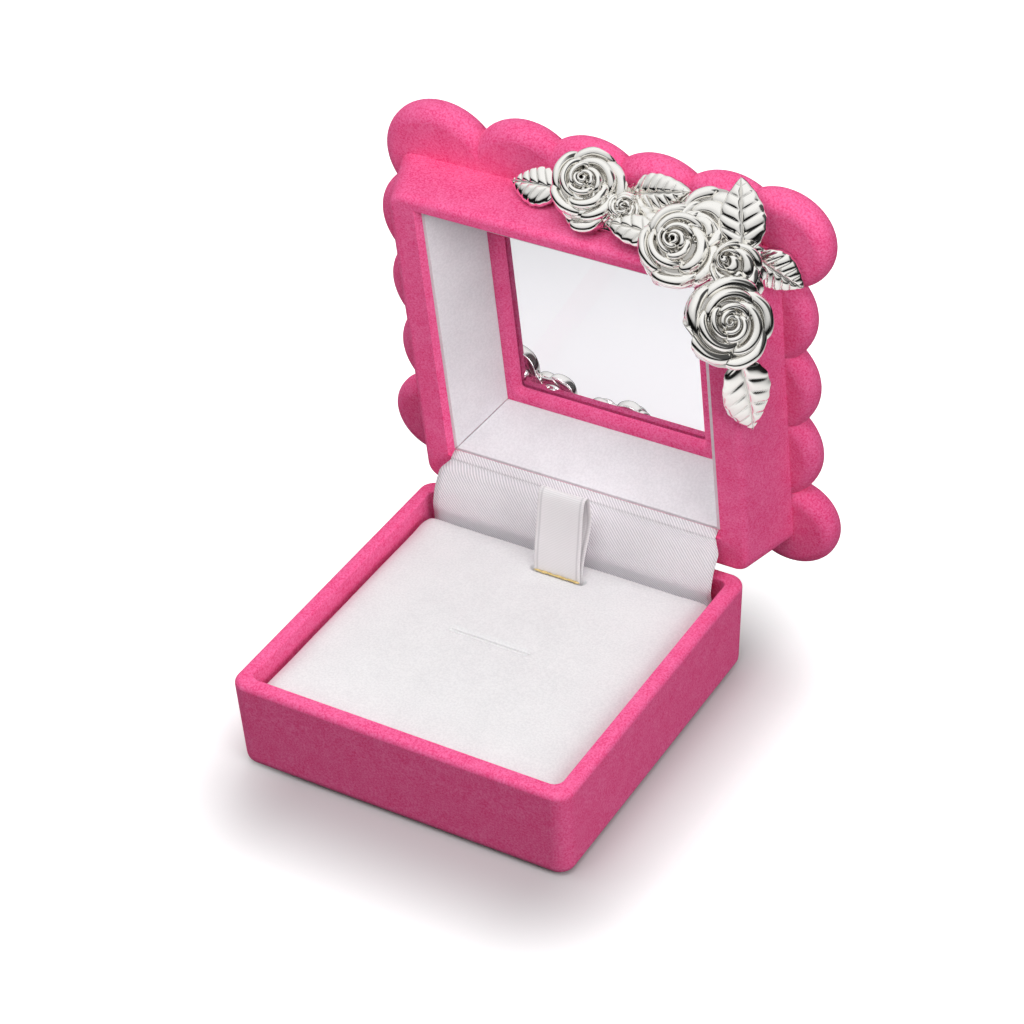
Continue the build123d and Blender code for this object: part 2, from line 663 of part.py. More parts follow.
# Rear spray: lower roses, buds and leaves on the plate's outer face beside the window
with BuildPart() as rose_spray_rear:
    spray_foot = plate_back + casting_clearance
    with BuildSketch(Plane.XY.offset(spray_foot)):
        with BuildLine():
            Line(*[(x, -reach) for x, reach in rear_web_ends])
        trace(line_width=rear_web_width)
    extrude(amount=rear_web_thickness)
    for x, reach, radius in rear_roses:
        add(rose((x, reach, spray_foot + rear_rose_height), (0, 0, 1), radius, rear_rose_height, 0))
    for (base_x, base_reach), (tip_x, tip_reach), width in rear_leaves:
        height = spray_foot + casting_leaf_thickness / 2
        add(leaf((base_x, base_reach, height), (tip_x, tip_reach, height), (0, 0, 1), width))
    for x, reach in rear_peg_places:
        with Locations((x, -reach, plate_back)):
            Cylinder(peg_radius, 2 * rear_peg_length)
save_on_lid(rose_spray_rear, "rose_spray_rear")
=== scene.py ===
"""Hinged jewelry box, shown open: flocked tray and window lid, slit velvet pad,
ribbon pull, satin strip over the hinge, and plated rose sprays, dressed over the CAD frame."""

import logging
from dataclasses import dataclass
from enum import Enum
from math import cos, radians, sin
from typing import Callable

import bpy
import numpy as np
from mathutils import Matrix


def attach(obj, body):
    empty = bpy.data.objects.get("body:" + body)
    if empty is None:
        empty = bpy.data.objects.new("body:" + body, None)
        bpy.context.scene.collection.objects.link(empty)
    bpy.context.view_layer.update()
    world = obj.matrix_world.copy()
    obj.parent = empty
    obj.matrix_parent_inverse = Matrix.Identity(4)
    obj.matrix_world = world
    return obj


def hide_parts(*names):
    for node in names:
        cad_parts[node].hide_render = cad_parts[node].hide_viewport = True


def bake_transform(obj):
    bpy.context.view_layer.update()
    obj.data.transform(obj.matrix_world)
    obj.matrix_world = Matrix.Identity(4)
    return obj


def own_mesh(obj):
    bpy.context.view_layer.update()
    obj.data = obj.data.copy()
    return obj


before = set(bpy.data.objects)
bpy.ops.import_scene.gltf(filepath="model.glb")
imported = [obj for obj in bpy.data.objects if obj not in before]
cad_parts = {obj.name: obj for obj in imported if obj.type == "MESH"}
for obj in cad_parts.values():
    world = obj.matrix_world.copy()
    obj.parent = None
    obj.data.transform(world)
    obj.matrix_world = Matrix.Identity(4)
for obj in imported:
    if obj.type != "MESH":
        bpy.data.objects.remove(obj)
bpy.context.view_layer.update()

log = logging.getLogger("jewelry_box")

Vec2 = tuple[float, float]
Vec3 = tuple[float, float, float]
Colour = tuple[float, float, float]
Piece = bpy.types.Object
Tree = bpy.types.NodeTree
Node = bpy.types.Node
Socket = bpy.types.NodeSocket
Value = float | Socket
MM = 0.001
RIB_PHASE = 6.28318
HEART_SECTIONS, PETAL_SECTIONS = 72, 28
CORE_RINGS, CORE_CORNERS = 30, 48
LEAF_SECTIONS, LEAF_CORNERS = 72, 45
STEM_SECTIONS, STEM_CORNERS = 96, 28
BACKING_SECTIONS, BACKING_CORNERS = 80, 48


# Shapes on grids


def spline(points: np.ndarray, samples: int, closed: bool = False) -> np.ndarray:
    """Smooth curve through control points: each stretch is the cubic that keeps the
    direction from the point before it to the point after it.

    Args:
        points: Control points along the first axis, with any further axes.
        samples: Number of places on the curve.
        closed: True for a curve that comes back to its first point.

    Returns:
        The curve's places, along the first axis.
    """
    count = len(points)
    if closed:
        place = np.arange(samples) * count / samples
        window = points[(np.floor(place).astype(int)[:, None] + np.arange(-1, 3)) % count]
    else:
        place = np.linspace(0.0, count - 1.0, samples)
        place[-1] -= 1e-9
        ends = np.concatenate([2 * points[:1] - points[1:2], points, 2 * points[-1:] - points[-2:-1]])
        window = ends[np.floor(place).astype(int)[:, None] + np.arange(0, 4)]
    t = (place - np.floor(place)).reshape((-1,) + (1,) * (points.ndim - 1))
    a, b, c, d = (window[:, i] for i in range(4))
    return 0.5 * (2 * b + (c - a) * t + (2 * a - 5 * b + 4 * c - d) * t**2 + (3 * b - a - 3 * c + d) * t**3)


def unit(vector: np.ndarray) -> np.ndarray:
    """Vectors scaled to length one along their last axis."""
    return vector / np.linalg.norm(vector, axis=-1, keepdims=True)


def bump(value: np.ndarray, width: float) -> np.ndarray:
    """Bell of height one round zero: the exponential of minus the square of value over width."""
    return np.exp(-((value / width) ** 2))


def smooth(value: np.ndarray, low: float, high: float) -> np.ndarray:
    """Share from 0 at low to 1 at high along the cubic with level ends."""
    t = np.clip((value - low) / (high - low), 0.0, 1.0)
    return t * t * (3.0 - 2.0 * t)


def drawn_in(way: np.ndarray, power: int) -> np.ndarray:
    """Share that stays near 1 and falls to nothing at -1 and 1: the root of 1 less a power of the way."""
    return np.clip(1 - np.abs(way) ** power, 0, 1) ** 0.5


def stack(*parts: np.ndarray | float) -> np.ndarray:
    """Numbers and arrays stretched to one shape and set side by side along a new last axis."""
    return np.stack(np.broadcast_arrays(*parts), -1)


def full_turn(steps: int) -> np.ndarray:
    """Angles once round in equal steps."""
    return np.linspace(0.0, 2 * np.pi, steps, endpoint=False)


@dataclass
class Skin:
    """A closed surface under construction, with its faces of four and of three corners.

    A casting's points also know how hollow they lie, from 0 to 1, which the plating paints as shade, and a
    sheet's their flat coordinates.
    """

    points: np.ndarray
    quads: np.ndarray
    triangles: np.ndarray
    hollow: np.ndarray | None = None
    flat: np.ndarray | None = None

    @classmethod
    def rings(
        cls, rings: np.ndarray, hollow: np.ndarray | float | None = None, flat: np.ndarray | None = None,
        joined: bool = False,
    ) -> "Skin":
        """Closed surface of rings one after another, each end drawn together in its own middle.

        Args:
            rings: Places as (ring, place round the ring, 3).
            hollow: Depths in the relief, which mark painted shade, that stretch to (ring, place round the
                ring).
            flat: Flat coordinates as (ring, place round the ring, 2).
            joined: True if the last ring joins the first, so that there are no ends.

        Returns:
            The surface, its faces turned outwards.
        """
        rows, columns = rings.shape[:2]
        count = rows * columns
        row = columns * np.arange(rows if joined else rows - 1)[:, None]
        column = np.arange(columns)
        ahead, after = (row + columns) % count, (column + 1) % columns
        quads = stack(row + column, row + after, ahead + after, ahead + column).reshape(-1, 4)
        if joined:
            return cls(rings.reshape(-1, 3), quads, np.empty((0, 3), int)).outward()
        last = count - columns
        ends = np.concatenate([stack(after, column, count), stack(last + column, last + after, count + 1)])

        def with_poles(grid: np.ndarray) -> np.ndarray:
            """The grid as one row of values, then the means of its first and last rings."""
            line = grid.reshape((count,) + grid.shape[2:])
            return np.concatenate([line, grid[:1].mean(1), grid[-1:].mean(1)])

        depths = None if hollow is None else with_poles(np.broadcast_to(hollow, (rows, columns)))
        sheet = None if flat is None else with_poles(flat)
        return cls(with_poles(rings), quads, ends, depths, sheet).outward()

    @classmethod
    def join(cls, skins: list["Skin"]) -> "Skin":
        """One casting's surface made of several, which keep their own faces.

        Args:
            skins: The surfaces, in order.

        Returns:
            The surface.
        """
        firsts = np.cumsum([0] + [len(skin.points) for skin in skins[:-1]])
        return cls(
            np.concatenate([skin.points for skin in skins]),
            np.concatenate([skin.quads + first for skin, first in zip(skins, firsts)]),
            np.concatenate([skin.triangles + first for skin, first in zip(skins, firsts)]),
            np.concatenate([skin.hollow for skin in skins]),
        )

    def outward(self) -> "Skin":
        """The surface with its faces turned so that the space it holds is positive.

        Returns:
            The surface itself.
        """
        corners = np.concatenate([self.quads[:, [0, 1, 2]], self.quads[:, [0, 2, 3]], self.triangles])
        a, b, c = (self.points[corners[:, i]] for i in range(3))
        if (a * np.cross(b, c)).sum() < 0:
            self.quads, self.triangles = self.quads[:, ::-1], self.triangles[:, ::-1]
        return self

    def moved(self, change: Callable[[np.ndarray], np.ndarray]) -> "Skin":
        """The surface with its places put through a function of whole arrays."""
        self.points = change(self.points)
        return self.outward()

    def mesh(self, name: str) -> bpy.types.Mesh:
        """Blender mesh of the surface, smooth, with its depths and flat coordinates.

        Args:
            name: The mesh's name.

        Returns:
            The mesh.
        """
        mesh = bpy.data.meshes.new(name)
        mesh.from_pydata(self.points.tolist(), [], self.quads.tolist() + self.triangles.tolist())
        if self.hollow is not None:
            depths = mesh.attributes.new("hollow", "FLOAT", "POINT")
            depths.data.foreach_set("value", self.hollow.astype(np.float32))
        if self.flat is not None:
            corners = np.concatenate([self.quads.ravel(), self.triangles.ravel()])
            layer = mesh.uv_layers.new(name="flat")
            layer.data.foreach_set("uv", self.flat[corners].astype(np.float32).ravel())
        mesh.shade_smooth()
        mesh.update()
        return mesh


def put(name: str, data: bpy.types.ID) -> Piece:
    """New object in the scene that shows a mesh, a lamp or a camera.

    Args:
        name: The object's name.
        data: What it shows.

    Returns:
        The object.
    """
    thing = bpy.data.objects.new(name, data)
    bpy.context.scene.collection.objects.link(thing)
    return thing


def points_of(mesh: bpy.types.Mesh) -> np.ndarray:
    """Places of a mesh's points as rows of three.

    Args:
        mesh: The mesh.

    Returns:
        The places.
    """
    points = np.empty(len(mesh.vertices) * 3)
    mesh.vertices.foreach_get("co", points)
    return points.reshape(-1, 3)


def modified(piece: Piece) -> Piece:
    """The piece as its modifiers leave it."""
    return piece.evaluated_get(bpy.context.evaluated_depsgraph_get())


# Node tools


class Graph:
    """A node tree with short calls for adding and joining nodes."""

    def __init__(self, tree: Tree) -> None:
        """Keep the tree that the nodes go into."""
        self.tree = tree

    def fill(self, node: Node, inputs: dict) -> Node:
        """Fill a node's inputs.

        Args:
            node: The node.
            inputs: Numbers, colours or output sockets, by input name or number.

        Returns:
            The node.
        """
        for name, value in inputs.items():
            if isinstance(value, Socket):
                self.tree.links.new(value, node.inputs[name])
            else:
                node.inputs[name].default_value = (*value, 1.0) if isinstance(value, tuple) else value
        return node

    def add(self, kind: str, inputs: dict | None = None, **settings) -> Node:
        """Add one node.

        Args:
            kind: The node's type name.
            inputs: What fills its inputs.
            **settings: The node's own properties.

        Returns:
            The node.
        """
        node = self.tree.nodes.new(kind)
        for name, value in settings.items():
            setattr(node, name, value)
        return self.fill(node, inputs or {})

    def math(self, operation: str, *values: Value, clamp: bool = False) -> Socket:
        """Result of a Math node on numbers or sockets."""
        node = self.add("ShaderNodeMath", dict(enumerate(values)), operation=operation, use_clamp=clamp)
        return node.outputs[0]

    def times(self, first: Value, second: Value) -> Socket:
        """Product of two numbers or sockets."""
        return self.math("MULTIPLY", first, second)

    def plus(self, first: Value, second: Value, clamp: bool = False) -> Socket:
        """Sum of two numbers or sockets."""
        return self.math("ADD", first, second, clamp=clamp)

    def length(self, first: Socket, second: Socket) -> Socket:
        """Length of the vector with two parts: the root of the sum of their squares."""
        return self.math("SQRT", self.plus(self.math("POWER", first, 2.0), self.math("POWER", second, 2.0)))

    def split(self, vector: Socket) -> bpy.types.bpy_prop_collection:
        """The three parts of a vector."""
        return self.add("ShaderNodeSeparateXYZ", {0: vector}).outputs

    def noise(self, vector: Socket, scale: Value, detail: float = 2.0, roughness: float = 0.5) -> Socket:
        """Value of a Noise Texture."""
        inputs = {"Vector": vector, "Scale": scale, "Detail": detail, "Roughness": roughness}
        return self.add("ShaderNodeTexNoise", inputs).outputs[0]

    def spread(self, value: Socket, low: float, high: float, first: Value = 0.0, last: Value = 1.0) -> Socket:
        """Value carried smoothly from one range to another and held at its ends."""
        inputs = {"Value": value, "From Min": low, "From Max": high, "To Min": first, "To Max": last}
        return self.add("ShaderNodeMapRange", inputs, interpolation_type="SMOOTHSTEP").outputs["Result"]

    def blend(self, share: Value, first: Colour | Socket, second: Colour | Socket) -> Socket:
        """Colour between two colours by a share."""
        return self.add("ShaderNodeMix", {0: share, 6: first, 7: second}, data_type="RGBA").outputs[2]


def graph_of(block: bpy.types.Material | bpy.types.World) -> Graph:
    """Turn on the nodes of a material or a world and give its graph."""
    block.use_nodes = True
    return Graph(block.node_tree)


SOCKET_KINDS = {"Vector": "NodeSocketVector"} | dict.fromkeys(("Color", "Light", "Deep"), "NodeSocketColor")


def effect(name: str, inputs: tuple[str, ...], outputs: tuple[str, ...]) -> tuple:
    """Start a shader node group; sockets that SOCKET_KINDS doesn't name are numbers.

    Args:
        name: The effect's name.
        inputs: Its input names.
        outputs: Its output names.

    Returns:
        Its graph, its input sockets by name and its output node.
    """
    tree = bpy.data.node_groups.new(name, "ShaderNodeTree")
    for direction, names in (("INPUT", inputs), ("OUTPUT", outputs)):
        for socket in names:
            kind = SOCKET_KINDS.get(socket, "NodeSocketFloat")
            tree.interface.new_socket(socket, in_out=direction, socket_type=kind)
    return Graph(tree), tree.nodes.new("NodeGroupInput").outputs, tree.nodes.new("NodeGroupOutput")


class Effects:
    """Shader groups that several finishes share, each built once."""

    def __init__(self) -> None:
        """Build every group."""
        self.pile = self.build_pile()
        self.weave = self.build_weave()
        self.plating = self.build_plating()
        self.fleck = self.build_fleck()

    def build_pile(self) -> Tree:
        """Short standing fibres: fine speckle over broad brushed patches.

        Returns:
            The group.
        """
        g, i, result = effect(
            "standing_pile", ("Vector", "Fibre", "Patch", "Light", "Deep", "Speckle"), ("Color", "Height")
        )
        fibre = g.noise(i["Vector"], i["Fibre"], 3.0, 0.65)
        patch = g.noise(i["Vector"], i["Patch"], 3.0, 0.55)
        fine = g.times(g.spread(fibre, 0.3, 0.7, -0.5, 0.5), i["Speckle"])
        share = g.plus(fine, g.spread(patch, 0.3, 0.7, 0.4, 0.6), clamp=True)
        height = g.plus(fibre, g.times(patch, 0.6))
        g.fill(result, {"Color": g.blend(share, i["Deep"], i["Light"]), "Height": height})
        return g.tree

    def build_weave(self) -> Tree:
        """Slanting ribs of a woven strip on its flat coordinates, uneven along each rib.

        Returns:
            The group.
        """
        g, i, result = effect(
            "slanting_weave", ("Vector", "Pitch", "Slant", "Light", "Deep"), ("Color", "Height", "Crest")
        )
        part = g.split(i["Vector"])
        across = g.plus(g.times(part[0], i["Slant"]), part[1])
        stray = g.times(g.noise(i["Vector"], 0.9), 0.35)
        phase = g.times(g.plus(g.math("DIVIDE", across, i["Pitch"]), stray), RIB_PHASE)
        wave = g.math("MULTIPLY_ADD", g.math("SINE", phase), 0.5, 0.5)
        thread = g.noise(i["Vector"], 14.0, 2.0, 0.6)
        crest = g.math("MULTIPLY", wave, g.spread(thread, 0.2, 0.8, 0.7, 1.0), clamp=True)
        colour, height = g.blend(crest, i["Deep"], i["Light"]), g.plus(crest, g.times(thread, 0.3))
        g.fill(result, {"Color": colour, "Height": height, "Crest": crest})
        return g.tree

    def build_plating(self) -> Tree:
        """Polished metal, duller in its hollows and painted darker there as shade, with faint unevenness.

        Returns:
            The group.
        """
        g, i, result = effect(
            "polished_plating", ("Vector", "Hollow", "Scale", "Light", "Deep", "Polish", "Dull"),
            ("Color", "Roughness", "Height"),
        )
        broad = g.noise(i["Vector"], i["Scale"], 3.0, 0.6)
        fine = g.noise(i["Vector"], g.times(i["Scale"], 9.0), 2.0, 0.6)
        # Painted shade in the hollows, with faint real blotches, darkens the colour and dulls the finish.
        painted_shade_and_blotch = g.plus(g.spread(i["Hollow"], 0.3, 1.0), g.spread(broad, 0.6, 0.85, 0.0, 0.15), clamp=True)
        share = g.plus(g.times(painted_shade_and_blotch, 0.7), g.times(fine, 0.3), clamp=True)
        rough = g.add("ShaderNodeMapRange", {"Value": share, "To Min": i["Polish"], "To Max": i["Dull"]})
        colour, height = g.blend(painted_shade_and_blotch, i["Light"], i["Deep"]), g.plus(broad, g.times(fine, 0.15))
        g.fill(result, {"Color": colour, "Roughness": rough.outputs["Result"], "Height": height})
        return g.tree

    def build_fleck(self) -> Tree:
        """Plain stuff with fine flecks of a second colour, for paper, board and dried glue.

        Returns:
            The group.
        """
        g, i, result = effect("fine_fleck", ("Vector", "Scale", "Light", "Deep"), ("Color", "Height"))
        fleck = g.noise(i["Vector"], i["Scale"], 4.0, 0.7)
        cloud = g.noise(i["Vector"], g.times(i["Scale"], 0.06))
        share = g.plus(g.spread(fleck, 0.35, 0.65, 0.0, 0.65), g.spread(cloud, 0.3, 0.7, 0.0, 0.35))
        g.fill(result, {"Color": g.blend(share, i["Deep"], i["Light"]), "Height": fleck})
        return g.tree


# Finishes


class Coordinates(Enum):
    """Which coordinates of a piece its pattern follows."""

    OBJECT = "Object"
    FLAT = "flat"


@dataclass(frozen=True)
class Finish:
    """Common part of every finish: the shader, its bump and its coordinates.

    Attributes:
        name: Material name.
        light: Colour of its raised or main parts.
        deep: Colour of its hollows or flecks; on metal, painted shade in the hollows.
        roughness: Roughness where no pattern sets it.
        relief: Bump distance in millimetres.
        strength: Bump strength.
        sheen: Sheen weight.
        coordinates: What its pattern follows.
    """

    name: str
    light: Colour
    deep: Colour
    roughness: float = 0.6
    relief: float = 0.03
    strength: float = 0.5
    sheen: float = 0.0
    coordinates: Coordinates = Coordinates.OBJECT

    def pattern(self, g: Graph, where: Socket, tree: Tree, inputs: dict) -> bpy.types.bpy_prop_collection:
        """Place an effect group with the finish's two colours, and give its outputs."""
        inputs = {"Vector": where, "Light": self.light, "Deep": self.deep, **inputs}
        return g.add("ShaderNodeGroup", inputs, node_tree=tree).outputs

    def look(self, g: Graph, where: Socket, effects: Effects) -> dict:
        """Pattern of the finish, which each kind of finish sets for itself.

        Args:
            g: The material's graph.
            where: Coordinates for its patterns.
            effects: The shared groups.

        Returns:
            What fills the shader's inputs, and the bump's height if it has one.
        """
        raise NotImplementedError

    def material(self, effects: Effects) -> bpy.types.Material:
        """Build the material.

        Args:
            effects: The shared groups.

        Returns:
            The material, any height of its look led through a Bump node.
        """
        material = bpy.data.materials.new(self.name)
        g = graph_of(material)
        if self.coordinates is Coordinates.OBJECT:
            where = g.add("ShaderNodeTexCoord").outputs["Object"]
        else:
            where = g.add("ShaderNodeUVMap", uv_map="flat").outputs["UV"]
        inputs = {"Roughness": self.roughness, "Sheen Weight": self.sheen} | self.look(g, where, effects)
        if "Height" in inputs:
            grain = {"Height": inputs.pop("Height"), "Distance": self.relief * MM, "Strength": self.strength}
            inputs["Normal"] = g.add("ShaderNodeBump", grain).outputs[0]
        g.fill(g.tree.nodes["Principled BSDF"], inputs)
        return material


@dataclass(frozen=True)
class PileFinish(Finish):
    """Flocking or velvet: standing fibres with a soft sheen along the edges.

    Attributes:
        sheen_tint: Colour of the sheen.
        fibre_scale: Speckle scale per metre.
        patch_scale: Scale of the brushed patches per metre.
        speckle: Strength of the speckle.
    """

    sheen_tint: Colour = (1.0, 1.0, 1.0)
    fibre_scale: float = 2600.0
    patch_scale: float = 160.0
    speckle: float = 0.8

    def look(self, g: Graph, where: Socket, effects: Effects) -> dict:
        """Speckled pile with little gloss and a tinted sheen.

        Args:
            g: The material's graph.
            where: Coordinates for its patterns.
            effects: The shared groups.

        Returns:
            What fills the shader's inputs, and the bump's height.
        """
        inputs = {"Fibre": self.fibre_scale, "Patch": self.patch_scale, "Speckle": self.speckle}
        pile = self.pattern(g, where, effects.pile, inputs)
        return {
            "Base Color": pile["Color"], "Height": pile["Height"], "Specular IOR Level": 0.15,
            "Sheen Roughness": 0.45, "Sheen Tint": self.sheen_tint,
        }


@dataclass(frozen=True)
class WovenFinish(Finish):
    """Satin or ribbon: fine slanting ribs with a soft gloss on their crests.

    Attributes:
        pitch: Rib spacing in millimetres.
        slant: Rise of the ribs per millimetre across.
        selvedge: Distance of a woven edge line from the middle in millimetres, or 0 for none.
        trough: Roughness between the ribs.
    """

    sheen: float = 0.2
    coordinates: Coordinates = Coordinates.FLAT
    pitch: float = 0.5
    slant: float = 0.0
    selvedge: float = 0.0
    trough: float = 0.62

    def look(self, g: Graph, where: Socket, effects: Effects) -> dict:
        """Ribs, and a sunk grey line along each edge of a ribbon.

        Args:
            g: The material's graph.
            where: Coordinates for its patterns.
            effects: The shared groups.

        Returns:
            What fills the shader's inputs, and the bump's height.
        """
        weave = self.pattern(g, where, effects.weave, {"Pitch": self.pitch, "Slant": self.slant})
        colour, height = weave["Color"], weave["Height"]
        if self.selvedge:
            side = g.math("ABSOLUTE", g.split(where)[0])
            line = g.spread(g.math("ABSOLUTE", g.math("SUBTRACT", side, self.selvedge)), 0.1, 0.3, 1.0, 0.0)
            colour = g.blend(g.times(line, 0.45), colour, (0.45, 0.43, 0.45))
            height = g.math("SUBTRACT", height, g.times(line, 1.5))
        rough = g.spread(weave["Crest"], 0.0, 1.0, self.trough, self.roughness)
        return {"Base Color": colour, "Height": height, "Roughness": rough}


@dataclass(frozen=True)
class MetalFinish(Finish):
    """Plated or rolled metal, polished on its crests and duller in its hollows.

    Attributes:
        scale: Scale of its unevenness per metre.
        dull: Roughness in the hollows.
        hollow: Name of the mesh value that tells the hollows, where shade is painted, or empty for none.
    """

    scale: float = 900.0
    dull: float = 0.4
    hollow: str = ""

    def look(self, g: Graph, where: Socket, effects: Effects) -> dict:
        """Plating over the whole piece.

        Args:
            g: The material's graph.
            where: Coordinates for its patterns.
            effects: The shared groups.

        Returns:
            What fills the shader's inputs, and the bump's height.
        """
        hollow = 0.0
        if self.hollow:
            hollow = g.add("ShaderNodeAttribute", attribute_name=self.hollow).outputs["Fac"]
        inputs = {"Scale": self.scale, "Polish": self.roughness, "Dull": self.dull, "Hollow": hollow}
        plating = self.pattern(g, where, effects.plating, inputs)
        return {
            "Base Color": plating["Color"], "Roughness": plating["Roughness"], "Height": plating["Height"],
            "Metallic": 1.0,
        }


@dataclass(frozen=True)
class FleckFinish(Finish):
    """Card, board or glue with fine flecks, so many per metre, under any clear coat."""

    scale: float = 1500.0
    coat: float = 0.0

    def look(self, g: Graph, where: Socket, effects: Effects) -> dict:
        """Flecks over the whole piece."""
        fleck = self.pattern(g, where, effects.fleck, {"Scale": self.scale})
        return {"Base Color": fleck["Color"], "Height": fleck["Height"], "Coat Weight": self.coat}


@dataclass(frozen=True)
class PaneFinish(Finish):
    """Clear pane with the faintest haze of handling."""

    scale: float = 60.0
    haze: float = 0.03
    ior: float = 1.2

    def look(self, g: Graph, where: Socket, effects: Effects) -> dict:
        """Clear tinted pane, roughened in faint clouds.

        Args:
            g: The material's graph.
            where: Coordinates for its patterns.
            effects: The shared groups.

        Returns:
            What fills the shader's inputs.
        """
        cloud = self.pattern(g, where, effects.fleck, {"Scale": self.scale})
        rough = g.spread(cloud["Height"], 0.3, 0.8, 0.0, self.haze)
        return {"Base Color": cloud["Color"], "Roughness": rough, "Transmission Weight": 1.0, "IOR": self.ior}


class Palette:
    """Every finish of the box, built once and handed out by name."""

    def __init__(self) -> None:
        """Build the effects and the materials."""
        effects = Effects()
        finishes = {
            "flocked_plastic": PileFinish(
                "pink_flocking", (0.95, 0.19, 0.42), (0.82, 0.055, 0.205), roughness=0.92, relief=0.06,
                strength=0.45, sheen=0.10, sheen_tint=(1.0, 0.42, 0.62), fibre_scale=2800.0,
                patch_scale=260.0, speckle=0.85,
            ),
            "white_velvet": PileFinish(
                "white_velvet", (0.86, 0.855, 0.86), (0.74, 0.735, 0.745), roughness=0.95, relief=0.05,
                strength=0.45, sheen=0.3,
            ),
            "satin_strip": WovenFinish(
                "white_satin_strip", (0.93, 0.90, 0.93), (0.60, 0.575, 0.61), roughness=0.30, relief=0.09,
                strength=0.75, pitch=0.62, slant=0.9,
            ),
            "white_satin": WovenFinish(
                "white_ribbon", (0.84, 0.82, 0.83), (0.72, 0.70, 0.71), roughness=0.36, pitch=0.34,
                selvedge=4.25,
            ),
            "lining_card": FleckFinish(
                "lining_card", (0.84, 0.82, 0.85), (0.72, 0.70, 0.73), roughness=0.7, relief=0.02,
                scale=2200.0, sheen=0.15,
            ),
            "board": FleckFinish("grey_board", (0.6, 0.6, 0.58), (0.48, 0.47, 0.45), roughness=0.9),
            "glue": FleckFinish(
                "dried_glue", (0.78, 0.60, 0.26), (0.45, 0.30, 0.08), roughness=0.25, relief=0.05,
                scale=700.0, coat=0.5,
            ),
            "pane_glass": PaneFinish("clear_pane", (0.925, 0.92, 0.95), (0.911125, 0.9062, 0.93575)),
            "steel": MetalFinish(
                "hinge_steel", (0.62, 0.61, 0.6), (0.3, 0.29, 0.27), roughness=0.28, relief=0.01,
            ),
            # Its deep colour paints shade in the castings' hollows and, faintly, blotches over them.
            "plated_metal": MetalFinish(
                "silver_plating", (0.95, 0.935, 0.90), (0.50, 0.485, 0.46), roughness=0.07, relief=0.02,
                strength=0.2, scale=420.0, dull=0.22, hollow="hollow",
            ),
        }
        self.materials = {slot: finish.material(effects) for slot, finish in finishes.items()}

    def __getitem__(self, name: str) -> bpy.types.Material:
        """The material of a name."""
        return self.materials[name]

    def dress(self, node: str, slot: str) -> None:
        """Put a slot's material on a carried-over CAD node.

        Args:
            node: The node.
            slot: The slot.
        """
        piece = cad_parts[node]
        if not piece.material_slots:
            piece.data.materials.append(self.materials[slot])
        for material_slot in piece.material_slots:
            material_slot.material = self.materials[slot]


# Castings


@dataclass(frozen=True)
class LidAxes:
    """The open lid's own axes: x, reach from the hinge line, depth behind the rim, in millimetres."""

    angle: float = 83.7
    hinge_y: float = 35.0
    hinge_z: float = 19.5

    def place(self, local: np.ndarray) -> np.ndarray:
        """Places of the lid in the row frame, in metres.

        Args:
            local: Places as x, reach and depth in millimetres.

        Returns:
            The places turned by the lid's angle about the hinge line.
        """
        turn = radians(self.angle)
        x, reach, depth = np.moveaxis(local, -1, 0)
        y = self.hinge_y - reach * cos(turn) + depth * sin(turn)
        z = self.hinge_z + reach * sin(turn) + depth * cos(turn)
        return stack(x, y, z) * MM


@dataclass(frozen=True)
class Ring:
    """One ring of a rose's petals, as shares of the rose's radius and height.

    Attributes:
        count: Number of petals.
        radius: Lip radius.
        height: Lip height.
        span: Half angle that a petal covers, in degrees.
        inner: Radius where the petal's hollow ends.
        floor: Height of that place.
        lip: Roundness of the lip, as a share of the radius.
        swirl: Growth of the lip radius from one end of the petal to the other.
        droop: Fall of the lip towards the petal's ends.
        point: Outward point in the petal's middle.
    """

    count: int
    radius: float
    height: float
    span: float
    inner: float
    floor: float
    lip: float
    swirl: float
    droop: float
    point: float = 0.0


class Bloom(Enum):
    """Kinds of flower in the sprays, with their rings of petals from the heart outwards."""

    ROSE = (
        Ring(1, 0.12, 1.0, 250.0, 0.02, 0.62, 0.04, 0.06, 0.05),
        Ring(2, 0.25, 1.0, 112.0, 0.13, 0.64, 0.055, 0.05, 0.08),
        Ring(3, 0.42, 0.95, 82.0, 0.26, 0.58, 0.075, 0.07, 0.14),
        Ring(3, 0.68, 0.85, 80.0, 0.43, 0.50, 0.12, 0.10, 0.24, 0.01),
        Ring(5, 0.96, 0.64, 52.0, 0.66, 0.38, 0.15, 0.10, 0.26, 0.02),
    )
    BUD = (
        Ring(1, 0.17, 1.0, 220.0, 0.03, 0.6, 0.07, 0.08, 0.06),
        Ring(3, 0.44, 0.97, 84.0, 0.22, 0.56, 0.11, 0.09, 0.16),
        Ring(3, 0.72, 0.84, 80.0, 0.45, 0.46, 0.14, 0.10, 0.24, 0.01),
        Ring(4, 0.96, 0.62, 62.0, 0.68, 0.36, 0.15, 0.10, 0.26, 0.02),
    )


